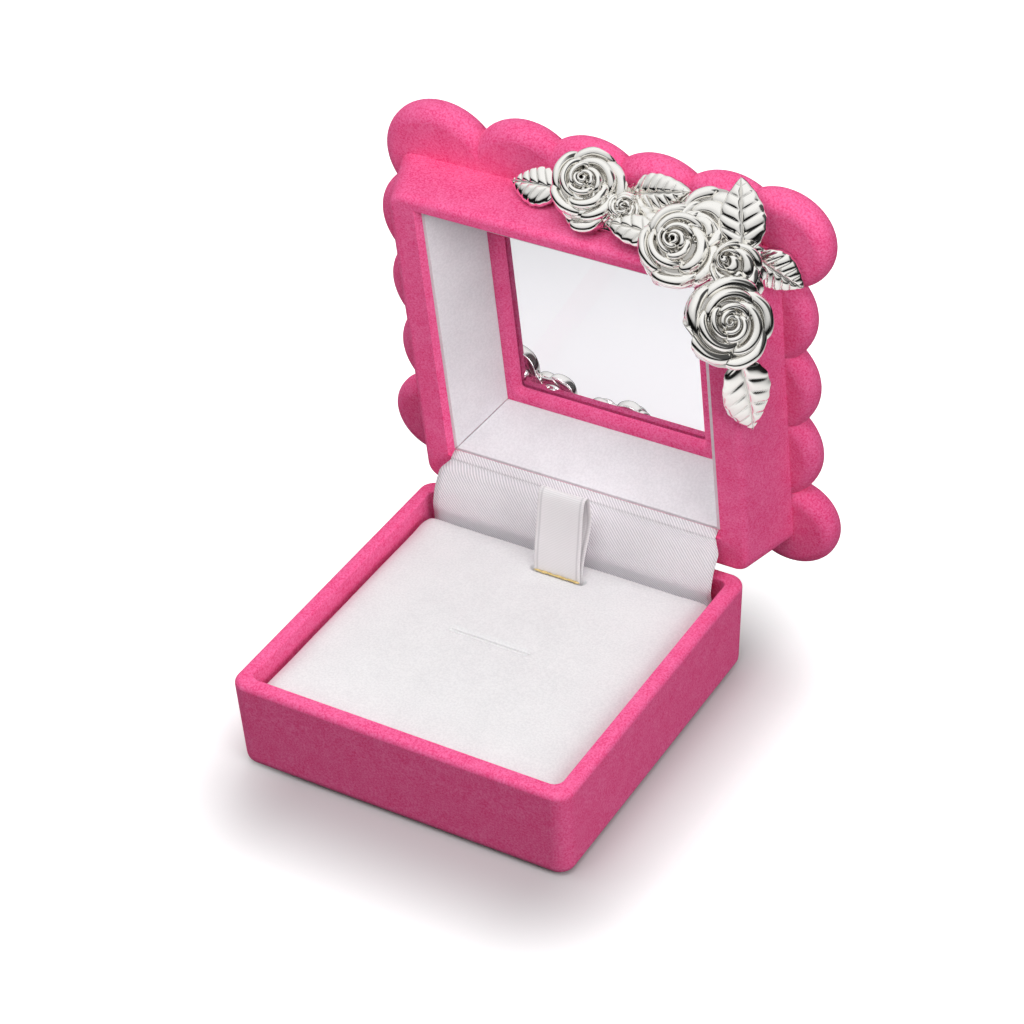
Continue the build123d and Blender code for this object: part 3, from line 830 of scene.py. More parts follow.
@dataclass(frozen=True)
class Rose:
    """Cast flower of overlapping petals round a coiled heart, on a straight-sided back.

    Attributes:
        top: Place of its highest point.
        facing: Direction that it faces.
        radius: Outer radius in millimetres.
        height: Height of the flower over its back.
        turn: Turn about its facing, in degrees.
        seed: Number that sets its small irregularities.
        lean: Way and share of the radius by which its heart stands off its middle.
        bloom: Kind of flower.
        skirt: Depth of the straight sides behind the flower.
    """

    top: Vec3
    facing: Vec3
    radius: float
    height: float
    turn: float
    seed: int
    lean: Vec3 = (0.0, 0.0, 0.0)
    bloom: Bloom = Bloom.ROSE
    skirt: float = 1.7

    def settle(self, radius: np.ndarray, angle: np.ndarray, height: np.ndarray) -> np.ndarray:
        """Turn the flower's own measures into places. The nearer the heart, the further along the lean.

        Args:
            radius: Distance from the flower's axis.
            angle: Angle round it in radians.
            height: Height over the flower's back.

        Returns:
            Places in the lid's own axes.
        """
        toward = unit(np.array(self.facing))
        across = unit(np.cross(toward, (0.0, 0.0, 1.0) if abs(toward[2]) < 0.9 else (0.0, 1.0, 0.0)))
        up = np.cross(toward, across)
        origin = np.array(self.top) - toward * self.height
        flat = radius[..., None] * (np.cos(angle)[..., None] * across + np.sin(angle)[..., None] * up)
        lean = np.array(self.lean) - toward * np.dot(self.lean, toward)
        near = np.clip(1.0 - radius / self.radius, 0.0, 1.0)
        inward = self.radius * near * np.clip(height / self.height + 0.2, 0.0, 1.0)
        return origin + flat + height[..., None] * toward + inward[..., None] * lean

    def petal(self, ring: Ring, turn: float, grow: float, glow_round_painted_shadow: float, outer: bool) -> Skin:
        """One petal: a closed wall section carried round an arc.

        The section goes up the outer side, over a round lip and down a hollow inner side. Its lip
        radius grows along the arc and its lip height falls with the square of the distance from
        the petal's middle. The section shrinks to nothing at both ends of the arc.

        Args:
            ring: The petal's ring.
            turn: Angle of its middle in radians.
            grow: Factor on its radius.
            glow_round_painted_shadow: Factor on its height.
            outer: True for the outermost ring, whose sides go down to the back.

        Returns:
            The closed surface.
        """
        u = np.linspace(-1.0, 1.0, HEART_SECTIONS if ring.count == 1 else PETAL_SECTIONS)
        u = 0.5 * (u + np.sin(0.5 * np.pi * u))
        size, high = self.radius, self.height
        lip = ring.lip * size
        point = ring.point * bump(u, 0.25)
        lip_radius = size * grow * (ring.radius + ring.swirl * u + point - 0.13 * ring.radius * u**4)
        lip_height = high * glow_round_painted_shadow * (ring.height - ring.droop * u**2 + 0.35 * ring.swirl * u + 0.8 * point)
        foot = -self.skirt if outer else 0.0
        foot_radius = lip_radius - (0.30 if outer else 0.9) * lip
        inner, floor = size * ring.inner, high * ring.floor
        # The third number of each corner marks painted shade on the plating: most down the petal's inner
        # side, some at its foot, none on its lip.
        section = (
            (foot_radius, foot, 0.6),
            (foot_radius, 0.5 * (foot + lip_height - 2 * lip), 0.3),
            (foot_radius + 0.1 * lip, lip_height - 2.2 * lip, 0.2),
            (lip_radius - 0.04 * lip, lip_height - 1.25 * lip, 0.0),
            (lip_radius - 0.16 * lip, lip_height - 0.5 * lip, 0.0),
            (lip_radius - 0.8 * lip, lip_height, 0.0),
            (lip_radius - 1.7 * lip, lip_height - 0.32 * lip, 0.0),
            (0.5 * inner + 0.5 * (lip_radius - 1.7 * lip), 0.6 * floor + 0.4 * (lip_height - lip), 0.25),
            (inner, floor, 0.95),
            (inner, foot, 1.0),
        )
        radii, levels, depths = zip(*section)
        controls = stack(stack(*radii), stack(*levels)).swapaxes(0, 1)
        loop = spline(controls, 3 * len(section), closed=True)
        hollow = np.clip(spline(np.array(depths), 3 * len(section), closed=True), 0, 1)
        middle = stack(0.5 * (inner + lip_radius), 0.5 * (floor + foot))
        radius, height = (middle + (loop - middle) * drawn_in(u, 5)[:, None]).T
        return Skin.rings(self.settle(radius, (turn + radians(ring.span) * u)[:, None], height), hollow)

    def core(self) -> Skin:
        """The flower's solid body under its petals: a turned form, closed front and back.

        Returns:
            The closed surface.
        """
        r, h, s = self.radius, self.height, self.skirt
        corners = np.array([
            (0.05 * r, -s - 1.0), (0.5 * r, -s - 1.0), (0.6 * r, -s), (0.86 * r, -s), (0.91 * r, 0.1 - s),
            (0.92 * r, 0.0), (0.90 * r, 0.18 * h), (0.8 * r, 0.32 * h), (0.5 * r, 0.45 * h),
            (0.2 * r, 0.52 * h), (0.05 * r, 0.55 * h),
        ])
        profile, height = spline(corners, CORE_RINGS).T[..., None]
        angle = full_turn(CORE_CORNERS)
        radius = profile * (1 + 0.025 * np.cos(5 * angle + self.seed))
        # The body is marked for painted shade, all but its lowest part.
        return Skin.rings(self.settle(radius, angle, height), 0.9 * smooth(height, -0.1 * h, 0.3 * h))

    def build(self) -> Skin:
        """The whole flower: closed petals over its body, each ring turned on from the one inside it.

        Returns:
            The petals and the body as one surface.
        """
        chance = np.random.default_rng(self.seed)
        skins = [self.core()]
        start = radians(self.turn)
        rings = self.bloom.value
        for index, ring in enumerate(rings):
            start += 0.7 + 0.3 * index
            for number in range(ring.count):
                wander, grow, glow_round_painted_shadow = chance.normal(0.0, (0.06, 0.02, 0.025))
                turn = start + 2 * np.pi * number / ring.count + wander
                skins.append(self.petal(ring, turn, 1 + grow, 1 + glow_round_painted_shadow, ring is rings[-1]))
        return Skin.join(skins)


@dataclass(frozen=True)
class Leaf:
    """Cast leaf with a sunk midrib, puffed panels between its side veins and a thick edge.

    Attributes:
        base: Place of its stalk end.
        tip: Place of its point.
        facing: Direction that its upper side faces.
        width: Greatest width in millimetres.
        veins: Number of side veins on each half.
        thickness: Thickness at its edge.
        curl: Fall of both ends against the middle.
    """

    base: Vec3
    tip: Vec3
    facing: Vec3
    width: float
    veins: int = 6
    thickness: float = 1.5
    curl: float = 0.5

    def build(self) -> Skin:
        """The leaf: a closed section carried from stalk to point.

        Half the width is the sine of pi times the distance to the power 0.78, with small teeth.
        The upper side is a low arch; bells sunk along the midrib and along lines that run
        forward from it leave puffed panels between them.

        Returns:
            The closed surface.
        """
        base, tip = np.array(self.base), np.array(self.tip)
        length = float(np.linalg.norm(tip - base))
        along = (tip - base) / length
        normal = unit(np.array(self.facing) - along * np.dot(self.facing, along))
        across = np.cross(normal, along)
        s = np.linspace(0.0, 1.0, LEAF_SECTIONS)[:, None]
        teeth = 1.0 + 0.022 * np.sin(2 * np.pi * self.veins * (s - 0.08))
        half = 0.5 * self.width * np.sin(np.pi * s**0.78) ** 0.8 * teeth
        t = np.concatenate([np.linspace(-1.0, 1.0, LEAF_CORNERS), (1.0, 0.97, 0.5, 0.0, -0.5, -0.97, -1.0)])
        under = np.concatenate([np.zeros(LEAF_CORNERS), (-0.3, -0.5, -0.5, -0.5, -0.5, -0.5, -0.3)])
        side = np.abs(t)
        phase = self.veins * (s - 0.55 * side * half / length) + 0.25
        vein = bump((phase % 1.0) - 0.5, 0.085) * smooth(side, 0.03, 0.15) * (1 - side**6)
        rib = bump(t, 0.055)
        puff = np.sin(np.pi * ((phase + 0.5) % 1.0)) ** 0.8 * smooth(side, 0.02, 0.25) * (1 - side**4)
        body = np.clip(np.sin(np.pi * np.clip(s, 0.02, 0.98)), 0, 1) ** 0.35
        arch = 0.42 * (1 - side**2.2) + 0.22 * puff - 0.10 * vein - 0.28 * rib
        arch = min(self.width / 5.0, 1.2) * arch * body
        upper = 0.5 * self.thickness * body + arch - 0.35 * side**10
        on_top = under == 0
        height = np.where(on_top, upper, under * self.thickness * body) - self.curl * (2 * s - 1) ** 2
        places = base + (s * length)[..., None] * along + (t * half)[..., None] * across
        # Veins and midrib are marked for painted shade, and the whole underside for full shade.
        hollow = np.where(on_top, np.clip(0.8 * vein + 0.8 * rib, 0, 1), 1.0)
        return Skin.rings(places + height[..., None] * normal, hollow)


@dataclass(frozen=True)
class Stem:
    """Knobbly stalk that joins the flowers: a round section of some radius carried along a smooth path."""

    radius: float
    path: tuple[Vec3, ...]

    def build(self) -> Skin:
        """The stalk, its radius rippled along its length and drawn in at both ends.

        Returns:
            The closed surface.
        """
        centre = spline(np.array(self.path), STEM_SECTIONS)
        forward = unit(np.gradient(centre, axis=0))
        side = unit(np.cross(forward, (0.0, 0.3, -1.0)))
        up = np.cross(side, forward)
        s, angle = np.linspace(0.0, 1.0, STEM_SECTIONS)[:, None], full_turn(STEM_CORNERS)
        ripple = 1 + 0.10 * np.sin(37 * s + 2 * np.sin(2 * angle)) + 0.06 * np.sin(71 * s + 3 * angle)
        radius = self.radius * ripple * drawn_in(2 * s - 1, 12)
        places = centre[:, None] + (radius * np.cos(angle))[..., None] * side[:, None]
        places = places + (radius * np.sin(angle))[..., None] * up[:, None]
        # The stalk is marked for painted shade, more where it narrows.
        return Skin.rings(places, 0.45 - 0.4 * (ripple - 0.84) / 0.32)


@dataclass(frozen=True)
class Backing:
    """Solid back of a casting: a section of (reach, depth) corners carried along x from start to end."""

    section: tuple[Vec2, ...]
    start: float
    end: float

    def build(self) -> Skin:
        """The closed curve through the corners, swelling and sinking along x and drawn in at its ends.

        Returns:
            The closed surface.
        """
        loop = spline(np.array(self.section), BACKING_CORNERS, closed=True).T
        root_reach, root_depth = self.section[0][0], 0.5 * (self.section[0][1] + self.section[-1][1])
        s = np.linspace(0.0, 1.0, BACKING_SECTIONS)[:, None]
        size = (0.86 + 0.10 * np.sin(19 * s + 0.6) + 0.04 * np.sin(47 * s)) * drawn_in(2 * s - 1, 10)
        reach = root_reach + (loop[0] - root_reach) * size
        depth = root_depth + (loop[1] - root_depth) * (0.75 + 0.25 * size)
        # The backing is marked for painted shade at half strength.
        return Skin.rings(stack(self.start + (self.end - self.start) * s, reach, depth), 0.5)


@dataclass(frozen=True)
class Maker:
    """A sub-assembly of the box that puts its pieces into the scene in the palette's finishes."""

    palette: Palette

    def piece(self, name: str, shape: Skin | bpy.types.Mesh, finish: str, slot: str = "") -> Piece:
        """Put one piece into the scene.

        Args:
            name: Its name.
            shape: Its surface or finished mesh.
            finish: Its finish in the palette.
            slot: Not used.

        Returns:
            The piece.
        """
        piece = put(name, shape.mesh(name) if isinstance(shape, Skin) else shape)
        piece.data.materials.append(self.palette[finish])
        return piece


@dataclass(frozen=True)
class FrontSpray(Maker):
    """Roses, buds and leaves over the lid's front right corner, as one casting.

    It stays out of the closed tray's room, which ends at tray, and before the plate, which begins at plate.
    """

    tray: Vec3 = (35.35, 70.35, 0.5)
    plate: float = 11.4
    roses: tuple[Rose, ...] = (
        Rose((5.2, 80.0, 5.0), (0.28, 0.82, -0.50), 7.0, 4.6, 20.0, 11, (-0.16, 0.02, 0.0)),
        Rose((5.3, 76.4, 2.6), (0.20, 0.70, -0.69), 4.9, 3.0, 150.0, 4, (-0.1, 0.3, 0.5), Bloom.BUD),
        Rose((12.4, 77.0, 4.0), (0.25, 0.78, -0.57), 3.0, 3.4, 80.0, 5, bloom=Bloom.BUD),
        Rose((27.5, 78.3, -2.5), (0.34, 0.80, -0.49), 7.6, 4.6, 200.0, 3, (-0.28, 0.02, 0.0)),
        Rose((29.9, 79.8, 3.5), (0.25, 0.75, -0.61), 6.4, 3.4, 130.0, 8, (-0.45, -0.3, -0.55)),
        Rose((38.2, 76.2, -2.6), (0.50, 0.65, -0.57), 4.7, 3.4, 10.0, 9, (-0.6, 0.35, -0.1), Bloom.BUD),
        Rose((40.9, 70.3, -10.1), (0.66, 0.57, -0.49), 8.2, 3.9, 60.0, 21, (-0.1, 0.0, 0.0), skirt=0.9),
    )
    leaves: tuple[Leaf, ...] = (
        Leaf((-2.6, 73.4, 8.0), (-13.3, 71.9, 8.9), (0.1, 0.75, -0.65), 7.6),
        Leaf((10.7, 75.3, 9.5), (22.9, 79.1, 9.5), (0.0, 0.55, -0.84), 7.0, 7),
        Leaf((20.5, 74.2, 1.8), (9.3, 73.6, 2.6), (0.2, 0.80, -0.55), 5.6, 5),
        Leaf((36.6, 74.8, 2.4), (32.6, 84.4, 10.4), (0.19, 0.62, -0.76), 8.4),
        Leaf((36.0, 70.4, 7.6), (43.9, 64.1, 9.9), (0.3, 0.3, -0.9), 7.6),
        Leaf((37.9, 55.8, -3.4), (37.6, 37.2, 0.1), (0.72, 0.30, -0.62), 9.4),
    )
    stems: tuple[Stem, ...] = (
        Stem(2.0, (
            (0.0, 72.5, 8.6), (8.0, 73.5, 8.4), (14.0, 73.6, 7.6), (20.0, 73.0, 5.0), (29.0, 72.6, 3.2),
            (35.5, 71.6, 1.6),
        )),
        Stem(1.9, (
            (33.0, 72.6, 3.0), (37.2, 70.6, 0.4), (38.2, 65.0, -1.6), (38.2, 59.0, -2.6), (38.0, 54.5, -3.2),
        )),
        Stem(2.8, (
            (38.6, 68.6, -8.8), (38.3, 68.2, -5.6), (38.0, 68.2, -2.0), (37.2, 69.8, 2.0), (36.4, 71.0, 5.0),
        )),
        Stem(1.5, (
            (12.0, 75.0, 9.9), (20.0, 76.0, 9.8), (28.0, 75.0, 9.6), (34.0, 71.8, 9.2), (37.0, 69.8, 8.0),
        )),
        Stem(1.0, ((2.0, 70.5, 7.0), (2.0, 68.0, 7.0), (2.0, 65.9, 7.0))),
        Stem(1.0, ((24.0, 70.5, 7.0), (24.0, 68.0, 7.0), (24.0, 65.9, 7.0))),
    )
    backing: Backing = Backing(
        ((69.3, 5.0), (71.3, 4.9), (74.6, 8.2), (76.8, 10.2), (76.8, 11.2), (69.9, 11.2)), 0.0, 36.0,
    )

    def clear(self, local: np.ndarray) -> np.ndarray:
        """Places kept before the plate and pushed out of the closed tray's room by the nearest face.

        Args:
            local: Places in the lid's own axes.

        Returns:
            The places, moved where they have to be.
        """
        local = np.minimum(local, (np.inf, np.inf, self.plate))
        depth = self.tray - local
        nearest = np.arange(3) == depth.argmin(-1)[:, None]
        return np.where((depth > 0).all(-1)[:, None] & nearest, self.tray, local)

    def build(self) -> list[Piece]:
        """Build the flowers and the greenery as two pieces of one casting.

        Returns:
            The two pieces.
        """
        pieces = []
        greens = (*self.leaves, *self.stems, self.backing)
        for name, parts in (("spray_front_flowers", self.roses), ("spray_front_leaves", greens)):
            skins = [part.build().moved(lambda p: LidAxes().place(self.clear(p))) for part in parts]
            piece = self.piece(name, Skin.join(skins), "plated_metal")
            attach(piece, "lid")
            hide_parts("rose_spray_front")
            pieces.append(piece)
        return pieces


@dataclass(frozen=True)
class RearSpray(Maker):
    """Lower spray on the lid's outer face (seat), seen from the front only through the window.

    A rose is x, reach and radius, and a leaf its stalk end, its point and its width.
    """

    seat: float = 17.55
    height: float = 3.4
    roses: tuple[Vec3, ...] = (
        (-24.5, 16.5, 7.8), (-15.0, 13.5, 5.5), (-30.0, 26.0, 6.0), (-4.2, 12.0, 4.0), (1.8, 12.8, 4.3),
    )
    leaves: tuple[tuple[Vec2, Vec2, float], ...] = (
        ((4.5, 12.0), (13.0, 9.0), 5.0), ((-27.5, 24.0), (-28.0, 34.5), 5.4),
    )
    stems: tuple[Stem, ...] = (
        Stem(1.4, ((-28.0, 22.0, 18.0), (-22.0, 15.0, 18.0), (-10.0, 12.5, 18.0), (5.0, 12.0, 18.0))),
        Stem(1.0, ((-29.0, 20.0, 18.0), (-29.0, 20.0, 16.5), (-29.0, 20.0, 14.8))),
        Stem(1.0, ((-4.2, 10.0, 18.0), (-4.2, 10.0, 16.5), (-4.2, 10.0, 14.8))),
    )

    def build(self) -> list[Piece]:
        """Build the spray as one casting.

        Returns:
            The piece.
        """
        out, top, level = (0.0, 0.0, 1.0), self.seat + self.height, self.seat + 0.75
        parts: list[Rose | Leaf] = [
            Rose((x, reach, top), out, radius, self.height, 70.0 * number, 40 + number, skirt=0.0,
                 bloom=Bloom.ROSE if radius > 5 else Bloom.BUD)
            for number, (x, reach, radius) in enumerate(self.roses)
        ]
        parts += [Leaf((*base, level), (*tip, level), out, width) for base, tip, width in self.leaves]
        skins = [part.build().moved(LidAxes().place) for part in (*parts, *self.stems)]
        piece = self.piece("spray_rear", Skin.join(skins), "plated_metal")
        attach(piece, "lid")
        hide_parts("rose_spray_rear")
        return [piece]


# Soft goods


@dataclass(frozen=True)
class Pad(Maker):
    """Velvet pad: a crowned rounded block swelled by its filling, with a slit and a ribbon slot.

    Lengths are in millimetres. The outline is a rounded square of the power squareness. Inset leaves
    room for the swelling, cap is the most that it reaches, and scale is how much larger than life the
    pad is meanwhile. The slit and the slot are x, y, half length and depth.
    """

    half_width: float = 31.7
    front: float = -31.7
    rear: float = 28.9
    bottom: float = 3.2
    top: float = 17.4
    edge: float = 1.4
    squareness: float = 44.0
    crown: float = 0.5
    inset: float = 0.25
    cap: float = 0.42
    voxel: float = 0.8
    scale: float = 10.0
    slit: tuple[float, float, float, float] = (0.0, -1.2, 8.0, 3.0)
    slot: tuple[float, float, float, float] = (1.4, 22.1, 5.0, 3.2)

    def form(self) -> Skin:
        """Starting form: rings of a rounded square from the middle of the top to that of the underside.

        Across the top the height is a crown less a share of the power 2.2 of the distance; the
        rings then turn over a quarter circle, go down the side and back under.

        Returns:
            The form in millimetres.
        """
        a, b = self.half_width - self.inset, 0.5 * (self.rear - self.front) - self.inset
        edge, top = self.edge, self.top - self.inset
        quarter = np.linspace(0.0, np.pi / 2, 7)[1:]
        over = np.linspace(0.02, 1.0, 40)
        turned = edge - edge * np.sin(quarter)
        draw = np.concatenate([np.full(40, edge), turned, np.zeros(6), np.full(12, 0.3)])
        share = np.concatenate([over, np.ones(12), np.linspace(1.0, 0.02, 12)])[:, None]
        z = np.concatenate([
            top - self.crown * over**2.2, top - self.crown - edge * (1 - np.cos(quarter)),
            np.linspace(self.top - 3.5, self.bottom + 0.5, 6), np.full(12, self.bottom + 0.1),
        ])
        c, s = np.cos(full_turn(240)), np.sin(full_turn(240))
        outline = (np.abs(c) ** self.squareness + np.abs(s) ** self.squareness) ** (-1 / self.squareness)
        x = share * (a - draw)[:, None] * (outline * c)
        y = 0.5 * (self.front + self.rear) + share * (b - draw)[:, None] * (outline * s)
        return Skin.rings(stack(x, y, z[:, None]))

    def swell(self, piece: Piece) -> np.ndarray:
        """Press the form out with a cloth simulation, holding every point near its start.

        Args:
            piece: The remeshed form.

        Returns:
            The swelled places, as large as the form.
        """
        before = points_of(piece.data)
        cloth = piece.modifiers.new("filling", "CLOTH")
        settings = {
            "quality": 4, "mass": 0.3, "tension_stiffness": 12.0, "compression_stiffness": 12.0,
            "use_pressure": True, "uniform_pressure_force": 4.0,
        }
        for name, value in settings.items():
            setattr(cloth.settings, name, value)
        cloth.settings.effector_weights.gravity = 0.0
        cloth.collision_settings.use_collision = False
        for step in range(1, 21):
            bpy.context.scene.frame_set(step)
        move = points_of(modified(piece).to_mesh()) - before
        piece.modifiers.remove(cloth)
        bpy.context.scene.frame_set(1)
        size = np.linalg.norm(move, axis=1, keepdims=True)
        return before + move * np.minimum(1.0, self.cap * MM * self.scale / np.maximum(size, 1e-9))

    def carve(self, p: np.ndarray) -> np.ndarray:
        """Sink the slit, the ribbon's slot and the soft dips round them into the top.

        Each is a trench: full depth within its half width, easing out over a short distance, with
        a wide shallow bell round it.

        Args:
            p: Places in millimetres.

        Returns:
            The sunk places.
        """
        x, y, z = p.T
        drop = 0.0
        cuts = ((self.slit, (0.18, 0.5), (0.12, 3.2)), (self.slot, (0.45, 0.8), (0.25, 2.4)))
        for (middle_x, middle_y, half, depth), wall, (dip, width) in cuts:
            far = np.hypot(np.maximum(np.abs(x - middle_x) - half, 0.0), y - middle_y)
            drop = drop + depth * (1 - smooth(far, *wall)) + dip * bump(far, width)
        return stack(x, y, z - drop * smooth(z, self.top - 2.5, self.top - 1.2))

    def build(self) -> list[Piece]:
        """Build the pad.

        Returns:
            The padded piece.
        """
        start = put("pad_start", self.form().moved(lambda p: p * MM * self.scale).mesh("pad_start"))
        remesh = start.modifiers.new("even", "REMESH")
        remesh.mode, remesh.voxel_size = "VOXEL", self.voxel * MM * self.scale
        relax = start.modifiers.new("relax", "SMOOTH")
        relax.iterations, relax.factor = 3, 0.5
        even = bpy.data.meshes.new_from_object(modified(start))
        swelled = put("velvet_pad", even)
        even.vertices.foreach_set("co", (self.swell(swelled) / self.scale).ravel())
        even.update()
        divide = swelled.modifiers.new("divide", "SUBSURF")
        divide.levels = divide.render_levels = 1
        fine = bpy.data.meshes.new_from_object(modified(swelled))
        for thing in (start, swelled):
            bpy.data.objects.remove(thing)
        fine.vertices.foreach_set("co", self.carve(points_of(fine) / MM).ravel() * MM)
        fine.shade_smooth()
        fine.update()
        fine.name = "velvet_pad"
        pad = self.piece("velvet_pad", fine, "white_velvet")
        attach(pad, "base")
        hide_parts("pad_cover", "pad_foam")
        return [pad]


@dataclass(frozen=True)
class SlitLips(Maker):
    """Turned velvet lips round the pad's slit, as one ring that is open between them.

    They reach from gap to out beside the slit. Their section is in shares of half that width and of the rise.
    """

    half_length: float = 8.0
    y: float = -1.2
    level: float = 17.12
    out: float = 0.62
    rise: float = 0.30
    gap: float = 0.10
    corners: tuple[Vec2, ...] = (
        (-1.0, -2.6), (-1.0, -0.6), (-0.75, 0.55), (0.0, 1.0), (0.75, 0.5), (1.0, -0.6), (1.0, -2.6),
    )

    def build(self) -> list[Piece]:
        """Build the lips: the rounded section carried round a long oval, its height wavering.

        Returns:
            The piece.
        """
        angle = full_turn(220)
        c, s = np.cos(angle), np.sin(angle)
        middle, half = 0.5 * (self.out + self.gap), 0.5 * (self.out - self.gap)
        cx = np.sign(c) * np.abs(c) ** 0.35 * (self.half_length + middle)
        cy = np.sign(s) * np.abs(s) ** 0.28 * middle
        side, height = spline(np.array(self.corners), 28, closed=True).T
        normal = unit(stack(np.gradient(cy), -np.gradient(cx)))
        wobble = 1 + 0.08 * np.sin(5 * angle) + 0.06 * np.sin(11 * angle + 1)
        x = cx[:, None] + half * side * normal[:, None, 0]
        y = self.y + cy[:, None] + half * side * normal[:, None, 1]
        z = self.level + self.rise * height * wobble[:, None]
        lips = self.piece("slit_lips", Skin.rings(stack(x, y, z) * MM, joined=True), "white_velvet")
        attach(lips, "base")
        return [lips]


@dataclass(frozen=True)
class Strip:
    """Woven strip: a thin rounded section carried along a path in the plane across the hinge.

    Attributes:
        points: Path as (y, z) in millimetres.
        width: Width across.
        thickness: Thickness.
        samples: Number of sections.
        centre: Place of its middle across.
        pinch: Share by which its width narrows in the middle of its path.
        cup: Rise of its edges along the path's normal.
        taper: Share by which its width narrows towards the end of its path.
    """

    points: tuple[Vec2, ...]
    width: float
    thickness: float
    samples: int
    centre: float = 0.0
    pinch: float = 0.0
    cup: float = 0.0
    taper: float = 0.0

    def path(self) -> tuple[np.ndarray, np.ndarray]:
        """The path's places and the length of each step between them."""
        path = spline(np.array(self.points), self.samples)
        return path, np.linalg.norm(np.diff(path, axis=0), axis=1)

    def flat_size(self) -> Vec2:
        """Width and length of the flat strip in metres."""
        return self.width * MM, float(self.path()[1].sum()) * MM

    def skin(self) -> Skin:
        """The strip's closed surface in metres, with its flat coordinates in millimetres.

        Returns:
            The surface.
        """
        path, steps = self.path()
        way = np.gradient(path, axis=0)
        normal = unit(stack(-way[:, 1], way[:, 0]))
        run = np.concatenate([[0.0], np.cumsum(steps)])[:, None]
        share = run / run[-1]
        edge = np.linspace(-1.0, 1.0, 41)
        across = np.concatenate([edge, edge[::-1]])
        over = np.repeat((1.0, -1.0), 41) * np.sqrt(np.clip(1.02 - across**16, 0.02, 1.0))
        narrow = 1 - self.pinch * np.sin(np.pi * share) ** 2 - self.taper * smooth(share, 0.72, 0.92)
        glow_round_painted_shadow = 0.5 * self.thickness * over + self.cup * across**2 * np.sin(np.pi * share)
        x = self.centre + 0.5 * self.width * narrow * across
        rings = stack(x, path[:, :1] + glow_round_painted_shadow * normal[:, :1], path[:, 1:] + glow_round_painted_shadow * normal[:, 1:])
        return Skin.rings(rings * MM, flat=stack(0.5 * self.width * across, run))


@dataclass(frozen=True)
class Ribbon(Maker):
    """Folded ribbon pull standing in the pad's rear slot, with a line of dried glue at its foot.

    Its front and back layers leave the pad at front and back, and its tails are hidden in the pad.
    """

    x: float = 1.4
    foot: float = 17.2
    front: float = 21.75
    back: float = 22.45
    rise: float = 16.6
    lean: float = 3.0
    belly: float = 2.2
    tail: float = 9.0
    width: float = 10.0

    def build(self) -> list[Piece]:
        """Build the ribbon and its glue.

        Returns:
            The two pieces.
        """
        f, h, lean, front, back = self.foot, self.rise, self.lean, self.front, self.back
        points = (
            (front, f - self.tail), (front, f - 5.0), (front, f - 1.0), (front + 0.35, f + 0.22 * h),
            (front + lean * 0.5, f + 0.58 * h), (front + lean * 0.8, f + 0.88 * h),
            (front + lean * 1.05, f + h - 0.1), (back + lean + 0.5, f + h - 0.25),
            (back + lean + 1.0, f + 0.86 * h), (back + lean * 0.6 + self.belly, f + 0.60 * h),
            (back + 0.9, f + 0.22 * h), (back, f - 1.0), (back, f - 5.0), (back, f - self.tail),
        )
        strip = Strip(points, self.width, 0.22, 190, self.x, pinch=0.03, cup=0.25)
        ribbon = self.piece("ribbon_pull", strip.skin(), "white_satin")
        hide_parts("ribbon_loop")
        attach(ribbon, "base")
        strip.flat_size()
        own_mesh(ribbon)
        return [ribbon, self.glue()]

    def glue(self) -> Piece:
        """Uneven line of dried glue: an oval section whose size wavers along the ribbon's foot.

        Returns:
            The piece.
        """
        s, angle = np.linspace(-1.0, 1.0, 90)[:, None], full_turn(20)
        size = 0.21 + 0.03 * np.sin(9 * s) + 0.03 * np.sin(23 * s + 1) + 0.02 * np.sin(41 * s)
        size = size * drawn_in(s, 10)
        y = self.front - 0.32 + 0.05 * np.sin(13 * s) + 1.15 * size * np.cos(angle)
        z = self.foot + 0.02 + size * np.sin(angle)
        bead = self.piece("ribbon_glue", Skin.rings(stack(self.x + 0.5 * self.width * s, y, z) * MM), "glue")
        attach(bead, "base")
        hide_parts("ribbon_glue_bead")
        return bead


@dataclass(frozen=True)
class SatinStrip(Maker):
    """Satin strip from behind the pad up to the lid's lining, bowed away from the hinge.

    It leaves the pad at foot, its tuck hidden, and meets the rim at end. The bow is shares of the way
    between them and of the bulge there.
    """

    width: float = 60.4
    foot: Vec2 = (29.2, 16.1)
    end: Vec2 = (33.9, 26.4)
    tuck: float = 4.0
    bulge: float = 1.7
    bow: tuple[Vec2, ...] = ((0.2, 0.75), (0.5, 1.0), (0.8, 0.62))
    over_rim: tuple[Vec2, ...] = ((33.96, 26.93), (34.44, 27.34), (35.0, 27.7), (35.43, 27.9))

    def build(self) -> list[Piece]:
        """Build the strip, its upper end drawn narrower and turned in over the rim to the lining.

        Returns:
            The piece.
        """
        (y, z), (end_y, end_z) = self.foot, self.end
        chord = np.array(self.end) - self.foot
        out = unit(np.array([-chord[1], chord[0]]))
        bow = [self.foot + chord * way + out * self.bulge * share for way, share in self.bow]
        points = ((y, z - self.tuck), (y, z - 1.5), self.foot, *bow, self.end, *self.over_rim)
        strip = Strip(points, self.width, 0.3, 120, taper=0.055)
        piece = self.piece("satin_strip", strip.skin(), "satin_strip", "white_satin")
        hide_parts("satin_hinge_strip")
        strip.flat_size()
        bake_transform(piece)
        return [piece]


# Studio


def stand(thing: Piece, across: np.ndarray, up: np.ndarray, back: np.ndarray, place: Vec3) -> None:
    """Set a thing's three axes and its place."""
    thing.matrix_world = Matrix([*zip(across, up, back, place), (0.0, 0.0, 0.0, 1.0)])


